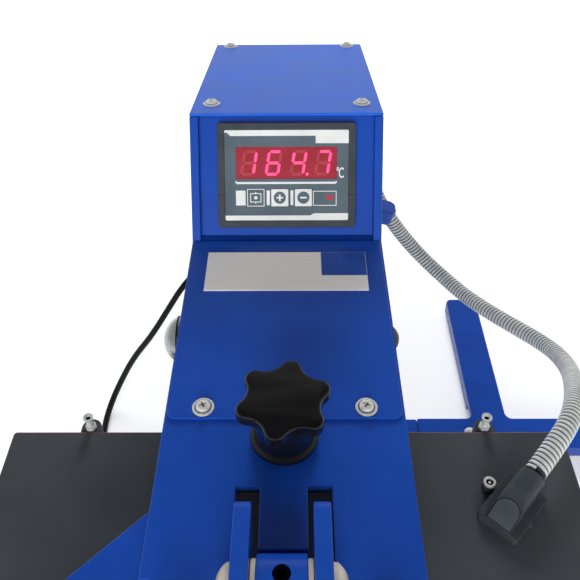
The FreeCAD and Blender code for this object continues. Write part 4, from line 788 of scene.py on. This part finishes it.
# screws with a cross recess in a domed head on a round flange
flangedScrews = {
    "profile": [
        (0, -6), (2.4, -6), (2.4, 0), (6, 0), (6.2, 0.3), (6.15, 0.8), (5.7, 1.15), (4.7, 1.25),
        (4.3, 1.5), (4.1, 2.2), (3.6, 2.9), (2.7, 3.4), (1.4, 3.6), (0, 3.6)],
    # reach and half width of the cross, its bottom and top, and the bottom's share of the top
    "cross": (2.6, 0.75, 1.6, 4.2, 0.55),
    # floor and ring: darker steel as painted shade on the floor of the cross recess and in the crease under the
    # dome
    "floor": (1.9, 0.6, 1.5, 2.3, 0.55),
    "ring": [(4.3, 1.2), (4.85, 1.2), (4.85, 1.42), (4.3, 1.55), (4.3, 1.2)],
    "lidFoot": (-120.479, 379.828), "lidSlope": 12.1, "sheet": 2,
    "lidX": 53.4, "lidAlong": (21, 192.3),
    "coverX": 45.5, "coverY": -314, "coverTop": 311,
    "turns": (12, 50, 33, 71, 24, 62),   # no two screws stop at the same angle
}


def makeFlangedScrews(setup):
    screw = cutOut(turnProfile(setup["profile"], 36), crossCutter(*setup["cross"]))
    slope = math.radians(setup["lidSlope"])
    footY, footZ = setup["lidFoot"]
    places = []
    for along in setup["lidAlong"]:
        y = footY + along * math.cos(slope) + setup["sheet"] * math.sin(slope)
        z = footZ - along * math.sin(slope) + setup["sheet"] * math.cos(slope)
        places += [at(side * setup["lidX"], y, z) @ turned(-setup["lidSlope"], "X") for side in (-1, 1)]
    places += [at(side * setup["coverX"], setup["coverY"], setup["coverTop"]) for side in (-1, 1)]
    places = [place @ turned(degrees, "Z") for place, degrees in zip(places, setup["turns"])]
    group = copiesAt(screw, places)
    finishPiece(group, "flangedScrews", "zinc", "flanged_screws", ["flanged_screws"])
    # the cross recess's floor and the crease under the dome get darker steel as painted shade
    shade = copiesAt(joinPieces([crossCutter(*setup["floor"]), turnProfile(setup["ring"], 36)]), places)
    finishPiece(shade, "flangedScrewShade", "steel", "flanged_screws")


# clamping screws on the ears of the heated plate, and its earth screw on a bush
edgeScrews = {
    "x": 137, "y": -266.8, "top": 234, "low": 208.5,
    "radius": 2.5, "neck": 2.2, "threadDepth": 0.5, "threadPitch": 1.25,
    "head": [
        (2, 0), (2.8, 0), (3.3, 0.6), (3.6, 2), (3.4, 2.4), (2.8, 2.5), (2.1, 2.1), (1.5, 0.3), (0, 0.3)],
    "headHeight": 2.5,
    "nut": [(2.5, 0), (3.6, 0), (4.1, 0.5), (4.1, 1.9), (3.6, 2.4), (2.5, 2.4), (2.5, 0)],
    "nutDepth": 1,
    # socket and recess: black discs in the screws' cups, painted shade standing in for deep sockets
    "socket": [(0, 0.32), (1.75, 0.32), (1.75, 0.5), (0, 0.5)],
    "earth": (130, -314), "bushHeight": 6.5,
    "bush": [(2.6, 0), (4.1, 0), (4.1, 5.6), (3.7, 6.5), (2.6, 6.5), (2.6, 0)],
    "disc": [
        (0, -9), (2.4, -9), (2.4, 0), (3.9, 0), (4.1, 0.3), (4.1, 1), (3.7, 1.6), (3.1, 1.9), (2.6, 1.7),
        (2.2, 0.5), (1.1, 0.4), (0.7, 1.2), (0, 1.3)],
    "recess": [(0.75, 0.45), (2.3, 0.45), (2.3, 0.72), (0.75, 0.72), (0.75, 0.45)],
}


def makeEdgeScrews(setup):
    low, pitch = setup["low"], setup["threadPitch"]
    top = setup["top"] - setup["headHeight"]
    profile = [(0, low)]
    for index in range(int((top - low) / pitch)):
        step = low + index * pitch
        profile += [(setup["radius"] - setup["threadDepth"], step), (setup["radius"], step + pitch / 2)]
    shank = turnProfile(profile + [(setup["neck"], top)], 16, 20)
    head = turnProfile(raised(setup["head"], top), 24, 50)
    nut = turnProfile(raised(setup["nut"], platenTop - setup["nutDepth"]), 6, 30)
    places = [at(side * setup["x"], setup["y"], 0) for side in (-1, 1)]
    group = copiesAt(joinPieces([shank, head, nut]), places)
    disc = turnProfile(setup["disc"], 32, 40)
    earthTop = at(*setup["earth"], platenTop + setup["bushHeight"])
    placeTurned(disc, earthTop)
    group = joinPieces([group, disc])
    finishPiece(group, "edgeScrews", "zinc", "edge_screws", ["edge_screws"])
    # black hex discs in the cups of the clamping screws and a black ring in the earth screw's cup: painted shade
    # standing in for deep sockets
    socket = turnProfile(raised(setup["socket"], top), 6, 30)
    recess = turnProfile(setup["recess"], 24, 40)
    placeTurned(recess, earthTop)
    sockets = joinPieces([copiesAt(socket, places), recess])
    finishPiece(sockets, "edgeScrewSocketShade", "blackOxide", "edge_screws")
    finishPiece(turnProfile(setup["bush"], 32, 40), "earthBush", "caseBlack", "edge_screws", ["edge_screws"],
                place=at(*setup["earth"], platenTop))


# bolt that carries the pressure arm: silver dome on the left, black cap on the right
armBolt = {
    "y": -246, "z": 291,
    "dome": (15.6, 9.6, -69.5, -1),      # radius, height, seat along x, and the way it points
    "bolt": [
        (14.3, -69.5), (14.5, -69.2), (14.5, -67.2), (14.3, -67), (6, -67), (6, -61), (9, -61), (9, -11.8),
        (6, -11.8), (6, 11.8), (9, 11.8), (9, 61), (6, 61), (6, 69.5), (0, 69.5)],
    "cap": (9.5, 6, 67, 1),
    "capFoot": [(6.1, 67), (6.1, 69.6), (0, 69.6)],
}


def domeProfile(radius, height, seat, way, points=8):
    # (radius, height) from the crown to the edge of a round head
    ball = (radius ** 2 + height ** 2) / (2 * height)
    widest = math.asin(radius / ball) if height <= radius else math.pi / 2
    angles = [widest * index / points for index in range(points + 1)]
    return [(ball * math.sin(a), seat + way * (height - ball * (1 - math.cos(a)))) for a in angles]


def makeArmBolt(setup):
    place = at(0, setup["y"], setup["z"]) @ turned(90, "Y")
    bolt = turnProfile(domeProfile(*setup["dome"]) + setup["bolt"], 40, 40)
    finishPiece(bolt, "armBolt", "steel", "arm_bolt", ["arm_bolt"], place=place)
    cap = turnProfile(domeProfile(*setup["cap"]) + setup["capFoot"], 32, 40)
    finishPiece(cap, "armBoltCap", "caseBlack", "arm_bolt", ["arm_bolt"], place=place)


# bare black set screw and side screws of the pressure block, all with hex sockets
socketScrews = {
    "setPlace": (0, -415.5, 0),
    "setSocket": (4, 328.4, 334), "sideSocket": (4, 0.2, 4),   # across flats, bottom and top
    "setScrew": [(0, 327.1), (3.7, 327.1), (3.95, 327.4), (3.95, 332), (3.5, 332.4), (0, 332.4)],
    "sideY": -344, "sideZ": 295.5,
    "side": [(0, -28), (3.95, -28), (3.95, 0), (5.2, 0), (5.5, 0.4), (5.5, 1.5), (5, 2), (0, 2)],
}


def makeSocketScrews(setup):
    setScrew = cutOut(turnProfile(setup["setScrew"], 24), hexCutter(*setup["setSocket"]))
    placeTurned(setScrew, at(*setup["setPlace"]))
    side = cutOut(turnProfile(setup["side"], 28), hexCutter(*setup["sideSocket"]))
    places = [at(hand * beamHalf, setup["sideY"], setup["sideZ"]) @ turned(90 * hand, "Y") for hand in (-1, 1)]
    group = joinPieces([copiesAt(side, places), setScrew])
    finishPiece(group, "socketScrews", "blackOxide", "socket_screws", ["socket_screws"])


# printed face of the controller, in mm from the middle of its face
controller = {
    "foot": (-171, 309), "lean": 35.5, "middle": 46.7,
    "faceLevel": 0.66, "windowLevel": 0.07, "keyLevel": 0.96, "signLevel": 1.016, "ink": 0.08,
    "stripes": [
        [(-43, 31), (-43, 29.4), (-41.2, 29.4), (-38.7, 27.1), (20.2, 27.1), (20.2, 22), (43, 22), (43, 31)],
        [(-43, -27.6), (16.6, -27.6), (19, -26.1), (43, -26.1), (43, -31), (-43, -31)],
        [(-35.8, -3.4), (-34.3, -4.3), (34, -4.3), (35, -3.6), (35, -4.9), (34, -5.7), (-34.6, -5.7),
         (-35.8, -4.6)],
    ],
    # bars, frame and seams: from x to x, then from y to y, and the frame's line
    "bars": [(-35.5, -28.8, -10.2, -20.5), (-14, -11.8, -10.2, -20.4), (2.7, 4.6, -10.2, -20.4)],
    "ledFrame": (18.4, 34.9, -20.9, -10.6, 0.5),
    "seam": (48, 43.1, -13.3, -12.9), "seamLevel": 1.46, "seamInk": 0.06,
    "led": (30, -15.2, 2.5, 1.9),
    "unit": {
        "text": "\u00b0C", "size": 10, "corner": (34.5, -1.5, 0.7), "depth": 0.04, "weight": 0.12,
        "spacing": 0.8, "narrowing": 0.55,
    },
    "reading": "1647", "point": (14.3, 1, 1.05, 1.05, 16),   # the point is a dot of its own
    "digitX": (-26.1, -9, 8.4, 25.5), "digitY": 8.7,
    "digitWidth": 10.2, "digitHeight": 17.4, "stroke": 1.95, "gap": 0.35, "slant": 0.165,
    "keys": {"key_set": -21.6, "key_plus": -4.8, "key_minus": 11.7}, "keyY": -15.2,
    "keySize": 12.2, "keyDepth": 3.5, "keyTop": 1, "keyRounding": 0.5,
    "disc": 4.25, "sign": (2.3, 0.58),     # radius of the disc, reach and half width of plus and minus
    # set key: widths of the rim and the frame, the frame's half width and height, dot, and tabs
    "rim": 0.55, "frameLine": 0.6, "frame": (3.9, 3.2), "dot": 1.25, "tab": (0.4, 4),
}
segmentsOf = {"1": "bc", "4": "bcfg", "6": "acdefg", "7": "abc"}


def faceMatrix(setup, x, y, level):
    lean = math.radians(setup["lean"])
    up = Vector((0, math.sin(lean), math.cos(lean)))
    outward = Vector((0, -math.cos(lean), math.sin(lean)))
    place = Vector((x, *setup["foot"])) + up * (setup["middle"] + y) + outward * level
    turn = Matrix((Vector((1, 0, 0)), up, outward)).transposed()
    return Matrix.Translation(place * mm) @ turn.to_4x4()


def ovalOutline(x, y, radiusX, radiusY, points=28):
    angles = [2 * math.pi * index / points for index in range(points)]
    return [(x + radiusX * math.cos(angle), y + radiusY * math.sin(angle)) for angle in angles]


def boxOutline(x0, x1, y0, y1):
    return [(x0, y0), (x1, y0), (x1, y1), (x0, y1)]


def frameOutlines(x0, x1, y0, y1, width):
    return [
        boxOutline(x0, x1, y0, y0 + width), boxOutline(x0, x1, y1 - width, y1),
        boxOutline(x0, x0 + width, y0 + width, y1 - width), boxOutline(x1 - width, x1, y0 + width, y1 - width),
    ]


def segmentOutlines(setup):
    # the seven strokes of a digit by their usual letters, pointed at both ends and slanted
    half = setup["stroke"] / 2
    halfW, halfH = setup["digitWidth"] / 2 - half, setup["digitHeight"] / 2 - half

    def level(y, left=-halfW, right=halfW):
        left, right = left + setup["gap"], right - setup["gap"]
        return [(left, y), (left + half, y + half), (right - half, y + half), (right, y), (right - half, y - half),
                (left + half, y - half)]

    def stand(x, low, high):
        return [(across, up) for up, across in level(x, low, high)]

    shapes = {
        "a": level(halfH), "g": level(0), "d": level(-halfH),
        "b": stand(halfW, 0, halfH), "c": stand(halfW, -halfH, 0),
        "f": stand(-halfW, 0, halfH), "e": stand(-halfW, -halfH, 0),
    }
    return {key: [(x + setup["slant"] * y, y) for x, y in shape] for key, shape in shapes.items()}


def printShapes(setup, outlines, level, name, finishKey, node):
    # flat inked shapes on the controller, joined as one print
    pieces = [raiseOutline(outline, setup["ink"]) for outline in outlines]
    finishPiece(joinPieces(pieces), name, finishKey, node, place=faceMatrix(setup, 0, 0, setup[level]))


def makeControllerPrint(setup):
    bars = [boxOutline(*bar) for bar in setup["bars"]]
    outlines = setup["stripes"] + bars + frameOutlines(*setup["ledFrame"])
    printShapes(setup, outlines, "faceLevel", "facePrint", "whiteInk", "controller_face")
    printShapes(setup, [ovalOutline(*setup["led"])], "faceLevel", "heatingLed", "segmentOff", "led_display")

    x0, x1, y0, y1 = setup["seam"]
    for name, side in (("bezelSeamLeft", -1), ("bezelSeamRight", 1)):
        seam = raiseOutline(boxOutline(side * x0, side * x1, y0, y1), setup["seamInk"])
        finishPiece(seam, name, "darkLine", "controller_bezel", place=faceMatrix(setup, 0, 0, setup["seamLevel"]))

    unit = setup["unit"]
    deselectAll()
    bpy.ops.object.text_add()
    letters = bpy.context.object
    letters.data.body = unit["text"]
    letters.data.size = unit["size"] * mm
    letters.data.space_character = unit["spacing"]
    letters.data.extrude = unit["depth"] * mm
    letters.data.offset = unit["weight"] * mm
    bpy.ops.object.convert(target="MESH")
    place = faceMatrix(setup, *unit["corner"]) @ Matrix.Diagonal((unit["narrowing"], 1, 1, 1))
    finishPiece(letters, "unitMark", "whiteInk", "controller_face", place=place)

    shapes = segmentOutlines(setup)
    lit, unlit = [], []
    for digit, middle in zip(setup["reading"], setup["digitX"]):
        for key, shape in shapes.items():
            outline = [(x + middle, y + setup["digitY"]) for x, y in shape]
            (lit if key in segmentsOf[digit] else unlit).append(outline)
    lit.append(ovalOutline(*setup["point"]))
    printShapes(setup, lit, "windowLevel", "litSegments", "segmentLit", "led_display")
    printShapes(setup, unlit, "windowLevel", "unlitSegments", "segmentOff", "led_display")
    print("controller face printed")


def setMarks(setup, x, y):
    # rim of the key, and a framed dot with a tab above and below
    half = setup["keySize"] / 2
    halfX, halfY = setup["frame"]
    tabHalf, tabEnd = setup["tab"]
    return (frameOutlines(x - half, x + half, y - half, y + half, setup["rim"])
            + frameOutlines(x - halfX, x + halfX, y - halfY, y + halfY, setup["frameLine"])
            + [ovalOutline(x, y, setup["dot"], setup["dot"], 18),
               boxOutline(x - tabHalf, x + tabHalf, y + halfY, y + tabEnd),
               boxOutline(x - tabHalf, x + tabHalf, y - tabEnd, y - halfY)])


def makeKeys(setup):
    y = setup["keyY"]
    size, depth = setup["keySize"] * mm, setup["keyDepth"] * mm
    for node, x in setup["keys"].items():
        deselectAll()
        bpy.ops.mesh.primitive_cube_add(size=1, location=(0, 0, setup["keyTop"] * mm - depth / 2))
        key = bpy.context.object
        key.scale = (size, size, depth)
        applyPlace(key)
        applyModifier(key, "BEVEL", width=setup["keyRounding"] * mm, segments=3)
        smoothBelow(40)
        name = pieceName(node)
        finishPiece(key, name, "faceSlate" if node == "key_set" else "whiteInk", node, [node],
                    place=faceMatrix(setup, x, y, 0))
        if node == "key_set":
            printShapes(setup, setMarks(setup, x, y), "keyLevel", name + "Mark", "whiteInk", node)
            continue
        disc = ovalOutline(x, y, setup["disc"], setup["disc"])
        printShapes(setup, [disc], "keyLevel", name + "Disc", "faceSlate", node)
        reach, width = setup["sign"]
        signs = [boxOutline(x - reach, x + reach, y - width, y + width)]
        if node == "key_plus":
            signs += [boxOutline(x - width, x + width, y + width, y + reach),
                      boxOutline(x - width, x + width, y - reach, y - width)]
        printShapes(setup, signs, "signLevel", name + "Sign", "whiteInk", node)
    print("keys made")


# bare nameplate foil with its printed block
namePrint = {"block": (23.5, 53.8, -207.7, -184.7), "level": 311.77, "ink": 0.08}


def makeNamePrint(setup):
    piece = raiseOutline(boxOutline(*setup["block"]), setup["ink"])
    finishPiece(piece, "nameplateBlock", "blueInk", "nameplate", place=at(0, 0, setup["level"]))


# sloping front of the connector's hood: a grained pad inside a dark arched line, and a latch low down
connectorTrim = {
    "front": (128.5, -343.5), "turn": 47, "crest": 7.8, "slope": 0.8,
    "halfWidth": 8.2, "low": 0.7, "shoulder": 10.2, "arcSteps": 16,
    # name, inset, level and thickness, and finish
    "trims": [("connectorLine", 0, 0, 0.12, "darkLine"), ("connectorPad", 0.5, 0.12, 0.13, "padGrey")],
    "latch": [(15.5, -14), (22.5, -14), (21.8, -15.8), (16.2, -15.8)], "latchLow": 1, "latchHeight": 5.2,
}


def archOutline(setup, inset):
    # two straight sides closed by a half circle, in the plane of the slope
    radius = setup["halfWidth"] - inset
    points = [(setup["low"] + inset, radius), (setup["low"] + inset, -radius)]
    for step in range(setup["arcSteps"] + 1):
        angle = math.radians(-90 + step * 180 / setup["arcSteps"])
        points.append((setup["shoulder"] + radius * math.cos(angle), radius * math.sin(angle)))
    return points


def makeConnectorTrim(setup):
    place = at(*setup["front"], platenTop) @ turned(setup["turn"], "Z")
    facet = place @ at(0, 0, setup["crest"]) @ Matrix.Rotation(-math.atan(setup["slope"]), 4, "Y")
    for name, inset, level, thickness, finishKey in setup["trims"]:
        trim = raiseOutline(archOutline(setup, inset), thickness)
        finishPiece(trim, name, finishKey, "heater_connector", place=facet @ at(0, 0, level))
    latch = raiseOutline(setup["latch"], setup["latchHeight"])
    finishPiece(latch, "connectorLatch", "connectorGrey", "heater_connector",
                place=place @ at(0, 0, setup["latchLow"]))


makeStarKnob(starKnob)
makeFlangedScrews(flangedScrews)
makeEdgeScrews(edgeScrews)
makeArmBolt(armBolt)
makeSocketScrews(socketScrews)
makeControllerPrint(controller)
makeKeys(controller)
makeNamePrint(namePrint)
makeConnectorTrim(connectorTrim)
print("fittings made")


studio = {
    "floorSize": 8.0,
    "worldColour": "#ffffff",
    "ambient": 0.25,
    # strength of the backdrop in reflections, by height of the ray: bright low down, dark overhead
    "backdrop": [(0.0, 0.48), (0.3, 0.5), (0.55, 0.42), (0.72, 0.2), (0.85, 0.04), (1.0, 0.03)],
    "lamps": [
        # name, place, aims at, size, watts
        ("softboxRear", (0.1, 1.9, 1.3), (0.0, -0.2, 0.3), 1.0, 46),
        ("softboxFront", (-0.2, -2.1, 0.85), (0.0, -0.2, 0.3), 1.3, 38),
    ],
    "floorLift": 0.35,
}


def makeStage(setup):
    bpy.ops.mesh.primitive_plane_add(size=setup["floorSize"])
    floor = bpy.context.object
    floor.name = "paleFloor"
    material, shader = newMaterial("paleFloor")
    setShader(shader, Base_Color=linearColour("#f4f4f4"), Roughness=0.9)
    rays = addNode(material, "ShaderNodeLightPath", {})
    seen = addNode(material, "ShaderNodeMath", {
        0: rays.outputs["Is Camera Ray"], 1: rays.outputs["Is Glossy Ray"]}, operation="MAXIMUM")
    seenThrough = addNode(material, "ShaderNodeMath", {
        0: seen.outputs[0], 1: rays.outputs["Is Transmission Ray"]}, operation="MAXIMUM")
    lift = addNode(material, "ShaderNodeMath", {
        0: seenThrough.outputs[0], 1: setup["floorLift"]}, operation="MULTIPLY")
    setShader(shader, Emission_Color=(1, 1, 1, 1), Emission_Strength=lift.outputs[0])
    floor.data.materials.append(material)

    world = bpy.data.worlds.new("studioWorld")
    world.use_nodes = True
    coords = addNode(world, "ShaderNodeTexCoord", {})
    split = addNode(world, "ShaderNodeSeparateXYZ", {"Vector": coords.outputs["Generated"]})
    ramp = addNode(world, "ShaderNodeValToRGB", {"Fac": split.outputs["Z"]})
    while len(ramp.color_ramp.elements) < len(setup["backdrop"]):
        ramp.color_ramp.elements.new(0.5)
    for element, (position, level) in zip(ramp.color_ramp.elements, setup["backdrop"]):
        element.position = position
        element.color = (level, level, level, 1)
    rays = addNode(world, "ShaderNodeLightPath", {})
    mirrored = addNode(world, "ShaderNodeMath", {
        0: rays.outputs["Is Glossy Ray"], 1: rays.outputs["Is Transmission Ray"]}, operation="MAXIMUM")
    gloss = addNode(world, "ShaderNodeMix", {
        "Factor": mirrored.outputs[0], "A": setup["ambient"], "B": ramp.outputs["Color"]})
    strength = addNode(world, "ShaderNodeMix", {
        "Factor": rays.outputs["Is Camera Ray"], "A": gloss.outputs["Result"], "B": 1.0})
    setShader(world.node_tree.nodes["Background"], Color=linearColour(setup["worldColour"]),
              Strength=strength.outputs["Result"])
    bpy.context.scene.world = world

    for name, place, target, size, watts in setup["lamps"]:
        data = bpy.data.lights.new(name, "AREA")
        data.shape = "DISK"
        data.size = size
        data.energy = watts
        lamp = addObject(name, data)
        lamp.location = place
        lamp.rotation_euler = (Vector(target) - Vector(place)).to_track_quat("-Z", "Y").to_euler()
        lamp.visible_glossy = False


makeStage(studio)
bpy.context.scene.view_settings.view_transform = "Standard"
print("stage lit")
